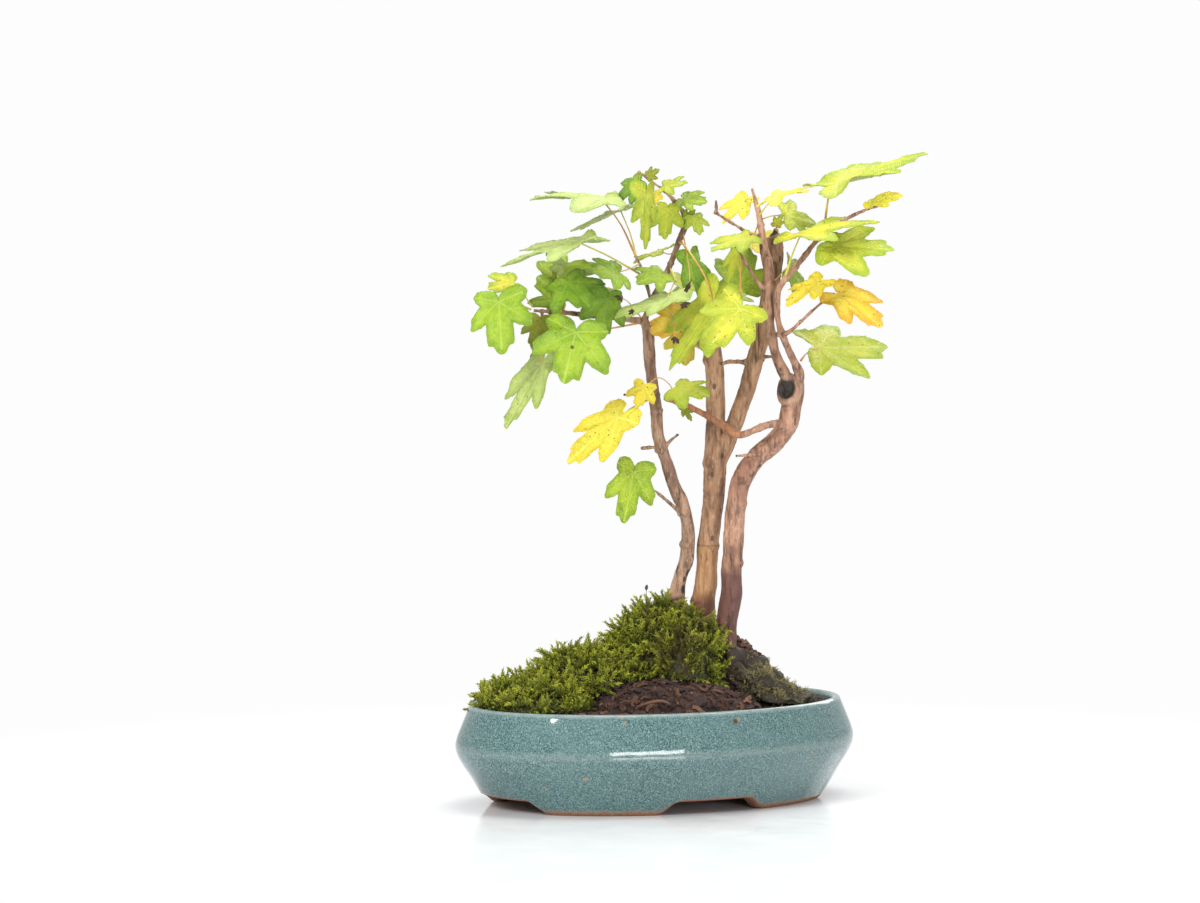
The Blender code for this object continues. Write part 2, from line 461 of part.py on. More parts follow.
# name: joint, tip, facing, width, curl, tone, stalk points from the joint back to its twig
LEAVES = [
    ("leaf_01", (-27.0, 2, 302.0), (-64.0, -6, 302.5), (0.0, -0.15, 1.0), 1.0, 0.10, "pale",
     [(-18, 3, 289), (-10.6, 1, 273.5)]),
    ("leaf_02", (-17.3, 24, 295.7), (-43.5, 36, 286.5), (-0.3, 0.0, 0.95), 0.9, 0.10, "pale",
     [(-13, 14, 284), (-9.6, 4.6, 271)]),
    ("leaf_03", (-9.5, 16, 309.5), (-21.5, 19, 300.5), (-0.2, -0.6, 0.8), 0.95, 0.15, "dark",
     [(-9.0, 11.5, 312.6), (-8.4, 8.5, 315.0)]),
    ("leaf_04", (-6.0, -13, 303.0), (-5.0, -18, 277.0), (0.6, -0.75, 0.1), 0.5, 0.2, "turning",
     [(-4.5, -3, 307.0), (-1.2, 7.2, 308.2)]),
    ("leaf_05", (11.6, 0, 206.8), (27.0, -8, 204.0), (0.0, -0.5, 0.87), 1.15, 0.1, "lime",
     [(10.8, 4, 203.6), (10.2, 6.9, 201.7)]),
    ("leaf_06", (-19.5, -4, 192.2), (-46.5, -14, 169.0), (0.0, -0.85, 0.5), 0.46, 0.12, "yellow",
     [(-12, 3, 197), (-3.7, 10.3, 200.6)]),
    ("leaf_07", (4.8, 5, 308.0), (15.5, -1, 309.7), (0.1, -0.6, 0.8), 1.0, 0.1, "lime",
     [(4.0, 9, 306.5)]),
    ("leaf_08", (14.5, 8, 301.5), (26.0, 3, 300.0), (0.2, -0.7, 0.7), 0.9, 0.1, "green",
     [(12.4, 10.5, 301.4), (10.9, 12.2, 301.2)]),
    ("leaf_09", (6.0, 9, 296.0), (4.0, 5, 281.2), (-0.3, -0.9, 0.2), 0.8, 0.1, "lime",
     [(7.8, 11.4, 298.4)]),
    ("leaf_10", (19.0, 10, 292.0), (22.0, 5, 284.5), (0.3, -0.9, 0.2), 1.0, 0.2, "lime",
     [(16.4, 15, 291)]),
    ("leaf_11", (-37.8, -14, 280.2), (-77.5, -24, 271.0), (-0.2, -0.12, 0.97), 0.9, 0.08, "pale",
     [(-24, -6, 273), (-8.4, 3.2, 264.0)]),
    ("leaf_12", (-19.5, -14, 265.0), (-31.5, -24, 266.0), (0.0, -0.75, 0.65), 1.15, 0.1, "dark",
     [(-14, -8, 266.5), (-8.8, 1.4, 268.8)]),
    ("leaf_13", (-50.3, 16, 262.5), (-30.5, 24, 269.5), (0.1, -0.7, 0.7), 0.95, 0.12, "green",
     [(-49, 10, 254), (-47.6, 4.4, 247)]),
    ("leaf_14", (-47.6, -7, 268.0), (-54.6, -12, 274.0), (-0.1, -0.8, 0.6), 0.8, 0.1, "pale",
     [(-47.0, -3, 257), (-46.6, 0.8, 247.6)]),
    ("leaf_15", (-72.0, -2, 259.4), (-85.5, -7, 256.5), (-0.1, -0.7, 0.7), 1.1, 0.1, "yellow",
     [(-66, 0, 253), (-61.9, 0, 247.4)]),
    ("leaf_16", (-6.0, -3, 207.5), (-10.5, -7, 196.6), (-0.2, -0.9, 0.3), 0.9, 0.1, "yellow",
     [(1.0, 1, 212), (7.0, 5, 208), (8.6, 7.0, 202.2)]),
    ("leaf_17", (-78.3, -20, 250.7), (-77.2, -28, 227.0), (-0.2, -0.97, 0.0), 0.95, 0.12, "green",
     [(-70, -11, 249.5), (-62.8, -1.0, 246.2)]),
    ("leaf_18", (-46.6, 12, 251.0), (-60.0, 22, 263.0), (-0.1, -0.75, 0.6), 1.0, 0.1, "green",
     [(-46.4, 4.6, 246)]),
    ("leaf_19", (-44.6, -15, 260.0), (-33.0, -26, 248.5), (0.2, -0.85, 0.5), 1.15, 0.12, "dark",
     [(-45.5, -7, 254), (-46.0, 0.2, 247)]),
    ("leaf_20", (-35.8, 25, 255.0), (-22.0, 37, 257.5), (0.1, -0.25, 0.95), 1.0, 0.08, "olive",
     [(-35.0, 14, 250), (-34.2, 6.0, 244.6)]),
    ("leaf_21", (-24.6, -6, 252.0), (-27.4, -12, 231.5), (0.45, -0.9, 0.1), 0.8, 0.12, "dark",
     [(-22.5, 0, 250), (-20.4, 4.2, 244.4)]),
    ("leaf_22", (-40.3, -18, 235.5), (-46.6, -26, 209.0), (0.05, -1.0, 0.12), 1.0, 0.12, "dark",
     [(-27, -1, 236), (-9.6, 6.0, 239)]),
    ("leaf_23", (-56.8, -8, 220.0), (-76.0, -12, 186.0), (-0.7, -0.65, -0.3), 0.42, 0.1, "pale",
     [(-56.9, -5, 229), (-56.6, -1.6, 236.4)]),
    ("leaf_24", (6.0, -10, 253.0), (-23.5, -20, 241.5), (-0.35, -0.2, 0.9), 0.8, 0.1, "pale",
     [(9.0, -2, 261), (7.4, 12.0, 266)]),
    ("leaf_25", (1.8, -4, 264.0), (-10.5, -13, 260.5), (-0.1, -0.7, 0.7), 0.95, 0.15, "green",
     [(3.5, 4, 265), (4.6, 11.8, 264.5)]),
    ("leaf_26", (10.4, 28, 259.5), (22.0, 38, 261.0), (0.1, -0.5, 0.85), 1.0, 0.1, "lime",
     [(8.2, 21, 262), (6.8, 16.4, 265)]),
    ("leaf_27", (11.8, -1, 240.6), (-2.5, -7, 235.0), (-0.05, -0.9, 0.3), 1.2, 0.12, "yellow",
     [(6.0, 2, 245), (-0.6, 8.5, 247)]),
    ("leaf_28", (8.0, 26, 247.5), (22.0, 36, 244.0), (0.1, -0.75, 0.6), 1.0, 0.1, "lime",
     [(3.0, 20, 247), (-1.3, 14, 250)]),
    ("leaf_29", (28.5, -14, 251.0), (4.0, -20, 213.6), (-0.5, -0.8, 0.3), 0.5, 0.06, "lime",
     [(24, -9, 263), (15, 1, 277), (11.8, 13.2, 279.4)]),
    ("leaf_30", (15.6, 34, 233.5), (15.0, 44, 216.5), (0.0, -0.9, 0.3), 0.85, 0.1, "yellow",
     [(8.5, 22, 236), (-0.6, 13, 235)]),
    ("leaf_31", (17.5, 8, 271.0), (24.5, 4, 249.0), (0.4, -0.85, 0.2), 0.52, 0.1, "dark",
     [(15.0, 11, 276), (12.5, 14.2, 280.5)]),
    ("leaf_32", (2.6, 30, 275.0), (-9.0, 42, 272.5), (0.0, -0.4, 0.9), 1.0, 0.1, "lime",
     [(6.4, 23, 273.5), (9.2, 17.6, 274.5)]),
    ("leaf_33", (41.0, -28, 247.5), (26.6, -36.6, 230.3), (0.1, -0.92, 0.4), 0.95, 0.12, "turning",
     [(41.5, -18, 258), (41.4, -7.6, 272.8)]),
    ("leaf_34", (-11.3, 1, 164.7), (-16.3, -6, 139.8), (0.0, -1.0, 0.1), 0.68, 0.12, "dark",
     [(-8.0, 4, 161.5), (-3.8, 8.0, 157.6)]),
    ("leaf_35", (36.6, 38, 253.0), (45.0, 52, 256.0), (0.1, -0.6, 0.8), 1.0, 0.1, "lime",
     [(32.0, 31, 253), (28.6, 26.4, 252)]),
    ("leaf_36", (43.0, 30, 258.0), (47.0, 38, 277.0), (0.0, -0.9, 0.35), 1.0, 0.1, "green",
     [(36.0, 29, 254), (30.0, 26.2, 249)]),
    ("leaf_37", (67.0, 12, 266.0), (76.0, 22, 257.0), (0.2, -0.8, 0.55), 0.95, 0.1, "green",
     [(64.6, 8, 266), (61.2, 4, 262.5), (58.9, 1.6, 260.5)]),
    ("leaf_38", (44.0, -9, 282.0), (27.0, -19, 275.5), (-0.1, -0.35, 0.93), 0.85, 0.08, "lime",
     [(45.8, -4, 283.6), (47.0, -0.2, 284.4)]),
    ("leaf_39", (41.5, 12, 276.0), (35.0, 8, 258.0), (-0.4, -0.85, 0.1), 0.45, 0.1, "lime",
     [(43.5, 8, 282), (46.0, 3.6, 285)]),
    ("leaf_40", (48.5, 27, 279.5), (63.0, 39, 284.0), (0.1, -0.45, 0.9), 0.95, 0.1, "yellow",
     [(50.0, 17, 285), (51.2, 9.4, 288.5)]),
    ("leaf_41", (44.5, 16, 300.5), (31.5, 7, 289.3), (-0.3, -0.6, 0.75), 0.66, 0.1, "yellow",
     [(46.4, 12.5, 301.5), (47.8, 10.2, 301.0)]),
    ("leaf_42", (59.5, -6, 303.0), (76.0, -18, 306.0), (0.05, -0.35, 0.95), 1.25, 0.08, "yellow",
     [(55.0, 0, 298), (51.8, 4.6, 293.5)]),
    ("leaf_43", (66.5, 20, 293.0), (81.0, 30, 290.5), (0.1, -0.75, 0.65), 1.0, 0.12, "lime",
     [(59.0, 14, 293), (53.4, 8.0, 291.5)]),
    ("leaf_44", (70.5, -17, 283.7), (108.0, -28, 291.5), (-0.1, -0.2, 0.97), 0.6, 0.08, "yellow",
     [(67.5, -13, 274), (64.2, -9.8, 263.6)]),
    ("leaf_45", (88.0, -21, 278.5), (119.2, -27, 276.5), (0.0, -0.6, 0.8), 0.82, 0.1, "green",
     [(85.0, -12, 280.5), (82.2, -5.4, 281.8)]),
    ("leaf_46", (90.8, 14, 309.0), (137.5, 20, 326.5), (-0.15, -0.14, 0.97), 0.85, 0.08, "lime",
     [(86.6, 8, 303), (83.8, -1.2, 286.6)]),
    ("leaf_47", (108.5, -4, 300.5), (123.0, -12, 303.5), (0.0, -0.5, 0.87), 0.65, 0.12, "yellow",
     [(106.8, -0.6, 298.8)]),
    ("leaf_48", (80.0, -22, 260.3), (63.5, -32, 250.5), (-0.2, -0.5, 0.85), 0.68, 0.1, "yellow",
     [(80.9, -16, 254), (81.6, -11.6, 250.6)]),
    ("leaf_49", (91.0, -18, 253.6), (113.0, -30, 239.5), (0.0, -0.6, 0.8), 0.68, 0.12, "turning",
     [(87.0, -14, 253), (84.4, -10.8, 251.6)]),
    ("leaf_50", (82.3, 20, 226.5), (114.5, 32, 226.5), (0.1, -0.54, 0.82), 0.98, 0.1, "green",
     [(76.0, 12, 224), (72.4, 2.4, 220.6)]),
]

TONES = {
    "green": (0.30, 0.42, 0.05),
    "dark": (0.17, 0.32, 0.07),
    "lime": (0.48, 0.55, 0.06),
    "pale": (0.50, 0.60, 0.20),
    "yellow": (0.80, 0.62, 0.03),
    "turning": (0.62, 0.58, 0.05),
    "olive": (0.42, 0.38, 0.06),
}


def blade_frame(joint, tip, facing):
    """Length and the three directions of a blade: across, along, and off its face."""
    ahead = Vector(tip) - Vector(joint)
    length = ahead.length
    ahead.normalize()
    off = Vector(facing)
    off = (off - off.dot(ahead) * ahead).normalized()
    return length, ahead.cross(off), ahead, off


def blade_place(joint, frame, width, curl, degrees, reach):
    """A point of the blade, which cups and droops towards its edges."""
    length, across, ahead, off = frame
    u = width * reach * math.sin(math.radians(degrees))
    v = reach * math.cos(math.radians(degrees))
    sag = -curl * (0.6 * v * v + 1.2 * u * u)
    return Vector(joint) + length * (u * across + v * ahead + sag * off)


def leaf_mesh(name, joint, tip, facing, width, curl, stalk):
    """A lobed blade with its stalk drawn out of the blade's foot."""
    frame = blade_frame(joint, tip, facing)
    outline = [(-a, r) for a, r in reversed(BLADE[1:])] + BLADE
    sheet = bmesh.new()
    bmesh.ops.create_circle(sheet, cap_ends=True, cap_tris=True, segments=len(outline),
                            radius=1.0)
    middle = min(sheet.verts, key=lambda v: v.co.length)
    ring = sorted((v for v in sheet.verts if v is not middle),
                  key=lambda v: -math.atan2(v.co.y, v.co.x))
    for vert, (degrees, reach) in zip(ring, outline):
        vert.co = blade_place(joint, frame, width, curl, degrees, reach)
    middle.co = blade_place(joint, frame, width, curl, 0.0, 0.06)
    foot = next(e for e in sheet.edges if set(e.verts) == {ring[0], ring[-1]})
    start = (ring[0].co + ring[-1].co) / 2
    route = [start] + stalk
    if (Vector(stalk[0]) - start).dot(frame[2]) > 0:
        route.insert(1, start - 1.8 * frame[2] - 1.4 * frame[3])
    path = along(route, STALK_STEPS if len(route) == 2 else 3)
    side = frame[1]
    left_end = ring[0]
    for here, there in zip(path, path[1:]):
        run = (there - here).normalized()
        side = (side - side.dot(run) * run).normalized()
        grown = bmesh.ops.extrude_edge_only(sheet, edges=[foot])["geom"]
        ends = [g for g in grown if isinstance(g, bmesh.types.BMVert)]
        ends.sort(key=lambda v: (v.co - left_end.co).length)
        ends[0].co = there - side * STALK_WIDTH / 2
        ends[1].co = there + side * STALK_WIDTH / 2
        left_end = ends[0]
        foot = next(g for g in grown if isinstance(g, bmesh.types.BMEdge))
    bmesh.ops.scale(sheet, vec=(MM, MM, MM), verts=sheet.verts)
    bmesh.ops.recalc_face_normals(sheet, faces=sheet.faces)
    mesh = bpy.data.meshes.new(name)
    sheet.to_mesh(mesh)
    sheet.free()
    mesh.shade_smooth()
    return mesh


def make_leaves():
    for name, joint, tip, facing, width, curl, tone, stalk in LEAVES:
        mesh = leaf_mesh(name, joint, tip, facing, width, curl, stalk)
        leaf = part(name, mesh, material("leaf_" + tone, TONES[tone], 0.45))
        shell = leaf.modifiers.new("thickness", "SOLIDIFY")
        shell.thickness = LEAF_THICK * MM
        shell.offset = 0.0


make_pot()
make_screens()
make_soil()
make_moss()
make_stems()
make_leaves()
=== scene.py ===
import math

import bmesh
import bpy
import numpy as np
from mathutils import Matrix, Vector, noise

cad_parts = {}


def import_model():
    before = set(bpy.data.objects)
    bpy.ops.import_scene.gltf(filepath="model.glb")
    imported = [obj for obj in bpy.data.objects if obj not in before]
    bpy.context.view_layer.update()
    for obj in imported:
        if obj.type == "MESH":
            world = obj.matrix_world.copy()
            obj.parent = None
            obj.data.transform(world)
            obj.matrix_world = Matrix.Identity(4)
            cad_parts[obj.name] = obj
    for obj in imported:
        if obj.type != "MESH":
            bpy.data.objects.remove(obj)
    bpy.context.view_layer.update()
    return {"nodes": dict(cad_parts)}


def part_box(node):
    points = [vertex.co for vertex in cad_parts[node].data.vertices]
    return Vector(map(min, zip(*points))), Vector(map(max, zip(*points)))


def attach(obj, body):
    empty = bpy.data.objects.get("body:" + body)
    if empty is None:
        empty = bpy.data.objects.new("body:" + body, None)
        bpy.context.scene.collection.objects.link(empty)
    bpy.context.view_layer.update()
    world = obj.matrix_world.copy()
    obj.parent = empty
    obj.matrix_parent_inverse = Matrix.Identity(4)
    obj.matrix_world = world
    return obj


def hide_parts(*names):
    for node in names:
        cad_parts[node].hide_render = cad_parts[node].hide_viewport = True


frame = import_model()

# Lengths are in millimetres from the pot's centre on the table, as in the part.
MM = 0.001
CAD_CENTRE = (Vector(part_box("pot")[0]) + Vector(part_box("pot")[1])) / 2
POT_AT = Vector((CAD_CENTRE.x, CAD_CENTRE.y, 0.0))
POT_TURN = math.radians(27.5)
OVAL = 0.674


# ---------------------------------------------------------------- small tools

def world(point):
    """A place in metres from one in millimetres from the pot's centre."""
    return POT_AT + Vector(point) * MM


def deselect():
    bpy.ops.object.select_all(action="DESELECT")


def only(obj):
    """Selects this object alone and makes it active."""
    deselect()
    obj.select_set(True)
    bpy.context.view_layer.objects.active = obj


def settle(obj):
    """Puts the object's place into its mesh."""
    only(obj)
    bpy.ops.object.transform_apply(location=True, rotation=True, scale=True)


def link(obj):
    """Puts a new object into the scene."""
    bpy.context.scene.collection.objects.link(obj)


def edit_all():
    """Starts editing the active mesh, with all of it selected."""
    bpy.ops.object.mode_set(mode="EDIT")
    bpy.ops.mesh.select_all(action="SELECT")


def leave_edit():
    bpy.ops.object.mode_set(mode="OBJECT")


def apply_all(obj):
    """Applies the object's modifiers in their order."""
    only(obj)
    for modifier in list(obj.modifiers):
        bpy.ops.object.modifier_apply(modifier=modifier.name)


def places(mesh):
    """The vertices' places, in metres."""
    points = np.empty(len(mesh.vertices) * 3, np.float32)
    mesh.vertices.foreach_get("co", points)
    return points.reshape(-1, 3)


def from_pot(mesh):
    """The vertices' places in millimetres from the pot's centre."""
    return (places(mesh) - np.array(POT_AT)) / MM


def vertex_normals(mesh):
    normals = np.empty(len(mesh.vertices) * 3, np.float32)
    mesh.vertices.foreach_get("normal", normals)
    return normals.reshape(-1, 3)


def unit(vectors):
    return vectors / np.linalg.norm(vectors, axis=1, keepdims=True)


def set_places(mesh, points):
    mesh.vertices.foreach_set("co", np.ascontiguousarray(points, np.float32).ravel())
    mesh.update()


def add_values(mesh, name, values):
    """A number for each vertex, which the materials read."""
    layer = mesh.attributes.new(name, "FLOAT", "POINT")
    layer.data.foreach_set("value", np.ascontiguousarray(values, np.float32))


def wear(obj, material):
    """Gives the object this one material."""
    obj.data.materials.clear()
    obj.data.materials.append(material)


def merged_copy(node, name):
    """A welded copy of a CAD node's mesh, as a new object."""
    source = frame["nodes"][node]
    made = bpy.data.objects.new(name, source.data.copy())
    made.matrix_world = source.matrix_world
    link(made)
    made.data.materials.clear()
    work = bmesh.new()
    work.from_mesh(made.data)
    bmesh.ops.remove_doubles(work, verts=work.verts, dist=1e-6)
    work.to_mesh(made.data)
    work.free()
    return made


def remesh(obj, voxel):
    """Fuses what overlaps into one skin of even faces."""
    only(obj)
    modifier = obj.modifiers.new("fuse", "REMESH")
    modifier.mode = "VOXEL"
    modifier.voxel_size = voxel
    bpy.ops.object.modifier_apply(modifier=modifier.name)


def smooth(obj, rounds, factor):
    only(obj)
    modifier = obj.modifiers.new("ease", "SMOOTH")
    modifier.factor = factor
    modifier.iterations = rounds
    bpy.ops.object.modifier_apply(modifier=modifier.name)


def finished(obj, nodes=(), angle=60.0):
    """Every piece rides on the one body, and stands for its CAD nodes."""
    only(obj)
    bpy.ops.object.shade_smooth_by_angle(angle=math.radians(angle))
    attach(obj, "root")
    if nodes:
        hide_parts(*nodes)


def curve_through(points, count):
    """Points of a smooth curve through the route's own points."""
    route = [Vector(p) for p in points]
    route = [2 * route[0] - route[1]] + route + [2 * route[-1] - route[-2]]
    curve = []
    for i in range(1, len(route) - 2):
        a, b, c, d = route[i - 1:i + 3]
        for step in range(count):
            t = step / count
            curve.append(0.5 * (2 * b + (c - a) * t + (2 * a - 5 * b + 4 * c - d) * t * t
                                + (3 * b - a - 3 * c + d) * t ** 3))
    return curve + [route[-2]]


def tube(name, points, radii, steps=4, roundness=4):
    """A tapering closed tube, as a mesh object in its place."""
    widths = [w.x for w in curve_through([(r, 0, 0) for r in radii], steps)]
    route = curve_through(points, steps)
    curve = bpy.data.curves.new(name, "CURVE")
    curve.dimensions = "3D"
    curve.bevel_depth = MM
    curve.bevel_resolution = roundness
    curve.use_fill_caps = True
    spline = curve.splines.new("POLY")
    spline.points.add(len(route) - 1)
    for point, place, width in zip(spline.points, route, widths):
        point.co = (*world(place), 1.0)
        point.radius = max(width, 0.15)
    made = bpy.data.objects.new(name, curve)
    link(made)
    only(made)
    bpy.ops.object.convert(target="MESH")
    only(made)
    edit_all()
    bpy.ops.mesh.remove_doubles(threshold=1e-6)
    bpy.ops.mesh.normals_make_consistent(inside=False)
    leave_edit()
    return made


def join(target, others):
    """Joins the others into the target, which keeps its name."""
    deselect()
    for other in others:
        other.select_set(True)
    target.select_set(True)
    bpy.context.view_layer.objects.active = target
    bpy.ops.object.join()
    return target


# ---------------------------------------------------------------- shader tools

class Nodes:
    """Short ways to add and link the nodes of one tree."""

    def __init__(self, tree):
        self.tree = tree

    def add(self, kind, values=None, **settings):
        node = self.tree.nodes.new(kind)
        for key, value in settings.items():
            setattr(node, key, value)
        for key, value in (values or {}).items():
            self.put(node.inputs[key], value)
        return node

    def put(self, socket, value):
        if isinstance(value, bpy.types.NodeSocket):
            self.tree.links.new(value, socket)
        elif isinstance(value, tuple) and len(value) == 3 and socket.type == "RGBA":
            socket.default_value = (*value, 1.0)
        else:
            socket.default_value = value

    def math(self, operation, a, b=0.0):
        node = self.add("ShaderNodeMath", operation=operation)
        self.put(node.inputs[0], a)
        self.put(node.inputs[1], b)
        return node.outputs[0]

    def plus(self, a, b):
        return self.math("ADD", a, b)

    def times(self, a, b):
        return self.math("MULTIPLY", a, b)

    def mix(self, amount, a, b):
        node = self.add("ShaderNodeMix", data_type="RGBA")
        self.put(node.inputs["Factor"], amount)
        self.put(node.inputs[6], a)
        self.put(node.inputs[7], b)
        return node.outputs[2]

    def between(self, value, low, high, to_low=0.0, to_high=1.0):
        node = self.add("ShaderNodeMapRange", interpolation_type="SMOOTHSTEP")
        self.put(node.inputs["Value"], value)
        for key, number in (("From Min", low), ("From Max", high),
                            ("To Min", to_low), ("To Max", to_high)):
            node.inputs[key].default_value = number
        return node.outputs["Result"]

    def noise(self, where, scale, detail=3.0, rough=0.55):
        node = self.add("ShaderNodeTexNoise", {"Vector": where, "Scale": scale,
                                               "Detail": detail, "Roughness": rough})
        return node.outputs["Fac"]

    def specks(self, where, scale, size, share):
        node = self.add("ShaderNodeGroup", {"Place": where, "Scale": scale, "Size": size,
                                            "Share": share}, node_tree=SPECKS)
        return node.outputs["Mask"]

    def mottle(self, where, scale):
        node = self.add("ShaderNodeGroup", {"Place": where, "Scale": scale}, node_tree=MOTTLE)
        return node.outputs["Value"]

    def place(self, stretch=None):
        where = self.add("ShaderNodeTexCoord").outputs["Object"]
        if stretch is None:
            return where
        mapping = self.add("ShaderNodeMapping", {"Vector": where, "Scale": stretch})
        return mapping.outputs["Vector"]

    def value(self, name):
        node = self.add("ShaderNodeAttribute", attribute_name=name)
        return node.outputs["Fac"]


def new_group(name, inputs, outputs):
    """An empty group with named sockets: its Nodes, its inputs, and its output node."""
    tree = bpy.data.node_groups.new(name, "ShaderNodeTree")
    for label, kind, value in inputs:
        socket = tree.interface.new_socket(label, in_out="INPUT", socket_type=kind)
        if value is not None:
            socket.default_value = value
    for label, kind in outputs:
        tree.interface.new_socket(label, in_out="OUTPUT", socket_type=kind)
    made = Nodes(tree)
    entry = made.add("NodeGroupInput")
    leave = made.add("NodeGroupOutput")
    return made, entry.outputs, leave.inputs


def specks_group():
    """Sharp round specks: a mask of cells' middles, thinned out by a second noise."""
    g, given, out = new_group("specks", [("Place", "NodeSocketVector", None),
                                         ("Scale", "NodeSocketFloat", 900.0),
                                         ("Size", "NodeSocketFloat", 0.3),
                                         ("Share", "NodeSocketFloat", 0.5)],
                              [("Mask", "NodeSocketFloat")])
    cells = g.add("ShaderNodeTexVoronoi", {"Vector": given["Place"],
                                           "Scale": given["Scale"]})
    inside = g.math("LESS_THAN", cells.outputs["Distance"], given["Size"])
    split = g.add("ShaderNodeSeparateColor", {"Color": cells.outputs["Color"]})
    kept = g.math("LESS_THAN", split.outputs[0], given["Share"])
    g.put(out["Mask"], g.times(inside, kept))
    return g.tree


def mottle_group():
    """Soft patches at two sizes, from 0 to 1."""
    g, given, out = new_group("mottle", [("Place", "NodeSocketVector", None),
                                         ("Scale", "NodeSocketFloat", 40.0)],
                              [("Value", "NodeSocketFloat")])
    broad = g.noise(given["Place"], given["Scale"], 2.0)
    finer = g.noise(given["Place"], g.times(given["Scale"], 5.0), 3.0)
    both = g.plus(g.times(broad, 0.65), g.times(finer, 0.35))
    g.put(out["Value"], g.between(both, 0.36, 0.64))
    return g.tree


SPECKS = specks_group()
MOTTLE = mottle_group()


def new_material(name, roughness):
    """A material, the Nodes of its tree, and its main shader."""
    made = bpy.data.materials.new(name)
    made.use_nodes = True
    shader = made.node_tree.nodes["Principled BSDF"]
    shader.inputs["Roughness"].default_value = roughness
    return made, Nodes(made.node_tree), shader


def let_light_in(shader, weight, radius):
    """Some light passes below the surface and spreads there."""
    shader.inputs["Subsurface Weight"].default_value = weight
    shader.inputs["Subsurface Radius"].default_value = radius


def bump(n, shader, height, strength, distance):
    node = n.add("ShaderNodeBump", {"Height": height, "Strength": strength,
                                    "Distance": distance})
    n.put(shader.inputs["Normal"], node.outputs["Normal"])


# ---------------------------------------------------------------- camera and stage

# Where it stands, how many degrees it looks down, and its focal length
CAMERA_AT = (-28.2, -2500.0, 314.0)
CAMERA_DIP = 3.18
CAMERA_LENS = 150.0


def make_camera():
    camera = bpy.data.cameras.new("view")
    camera.lens = CAMERA_LENS
    camera.sensor_width = 36.0
    camera.clip_end = 20.0
    holder = bpy.data.objects.new("view", camera)
    link(holder)
    holder.location = world(CAMERA_AT)
    holder.rotation_euler = (math.radians(90.0 - CAMERA_DIP), 0.0, 0.0)
    bpy.context.scene.camera = holder


def floor_material():
    """White polished stone that fades into the background's light."""
    made, n, shader = new_material("pale_polished_stone", 0.16)
    where = n.place()
    veins = n.noise(n.place((1.0, 3.0, 1.0)), 9.0, 8.0, 0.62)
    thin = n.between(n.math("ABSOLUTE", n.math("SUBTRACT", veins, 0.5)), 0.0, 0.03, 1.0, 0.0)
    patch = n.between(n.noise(where, 5.0), 0.5, 0.75)
    grey = n.times(thin, n.times(patch, 0.5))
    colour = n.mix(grey, (0.86, 0.86, 0.87), (0.60, 0.60, 0.62))
    n.put(shader.inputs["Base Color"], colour)
    n.put(shader.inputs["Roughness"], n.between(n.noise(where, 30.0), 0.3, 0.7, 0.08, 0.17))
    reach = n.add("ShaderNodeVectorMath", operation="LENGTH")
    n.put(reach.inputs[0], where)
    fade = n.between(reach.outputs["Value"], 0.26, 0.50)
    glow = n.add("ShaderNodeEmission", {"Color": (0.985, 0.985, 0.99), "Strength": 1.0})
    both = n.add("ShaderNodeMixShader")
    n.put(both.inputs[0], fade)
    n.put(both.inputs[1], shader.outputs[0])
    n.put(both.inputs[2], glow.outputs[0])
    n.put(n.tree.nodes["Material Output"].inputs["Surface"], both.outputs[0])
    return made


def make_stage():
    """The table top under the pot, which belongs to the stage and not to the object."""
    deselect()
    bpy.ops.mesh.primitive_circle_add(vertices=96, radius=3.0, fill_type="TRIFAN",
                                      location=(0.0, 0.0, 0.0))
    floor = bpy.context.object
    floor.name = "table_top"
    floor.data.materials.append(floor_material())


def area_light(name, place, aim, size, watts, colour=(1.0, 1.0, 1.0)):
    lamp = bpy.data.lights.new(name, "AREA")
    lamp.shape = "RECTANGLE"
    lamp.size, lamp.size_y = size
    lamp.energy = watts
    lamp.color = colour
    holder = bpy.data.objects.new(name, lamp)
    link(holder)
    holder.location = place
    holder.visible_camera = False
    holder.rotation_euler = (Vector(aim) - Vector(place)).to_track_quat("-Z", "Y").to_euler()


def make_lights():
    """Windows and soft boxes, and a sky that the camera sees as nearly white."""
    area_light("window_left", (-1.5, -1.5, 1.5), (0, 0, 0.15), (0.6, 0.9), 36.0)
    bpy.data.objects["window_left"].visible_glossy = False
    area_light("window_glint", (-1.15, -1.9, 1.62), (0, 0, 0.05), (0.14, 0.22), 8.0)
    area_light("softbox_front", (0.85, -2.0, 0.34), (0, 0, 0.1), (1.2, 0.34), 20.0)
    area_light("softbox_top", (0.3, 0.2, 1.7), (0, 0, 0.1), (1.2, 1.2), 22.0)
    area_light("fill_back", (0.9, 1.6, 1.1), (0, 0, 0.2), (1.2, 0.9), 12.0)
    sky = bpy.context.scene.world or bpy.data.worlds.new("sky")
    bpy.context.scene.world = sky
    sky.use_nodes = True
    n = Nodes(sky.node_tree)
    seen = n.add("ShaderNodeLightPath").outputs["Is Camera Ray"]
    background = sky.node_tree.nodes["Background"]
    background.inputs["Color"].default_value = (0.985, 0.985, 0.99, 1.0)
    n.put(background.inputs["Strength"], n.between(seen, 0.0, 1.0, 0.75, 1.0))
    bpy.context.scene.view_settings.view_transform = "Standard"


# ---------------------------------------------------------------- pot

CHIP_AT = world((38.1, -56.5, 45.6))
POT_SIDES = 240
RING_STEP = 0.05
ARCH_Z = 6.4
RECESS_Z = 7.0
BLEND_Z = 14.0
# The gaps between the feet, in a long side and at an end: half the gap's width, and the
# length over which its arch rises. A long side's gap lies nearer the middle than LONG_SIDE
GAP_FRONT = (30.0, 11.5)
GAP_END = (31.0, 7.0)
LONG_SIDE = 40.0
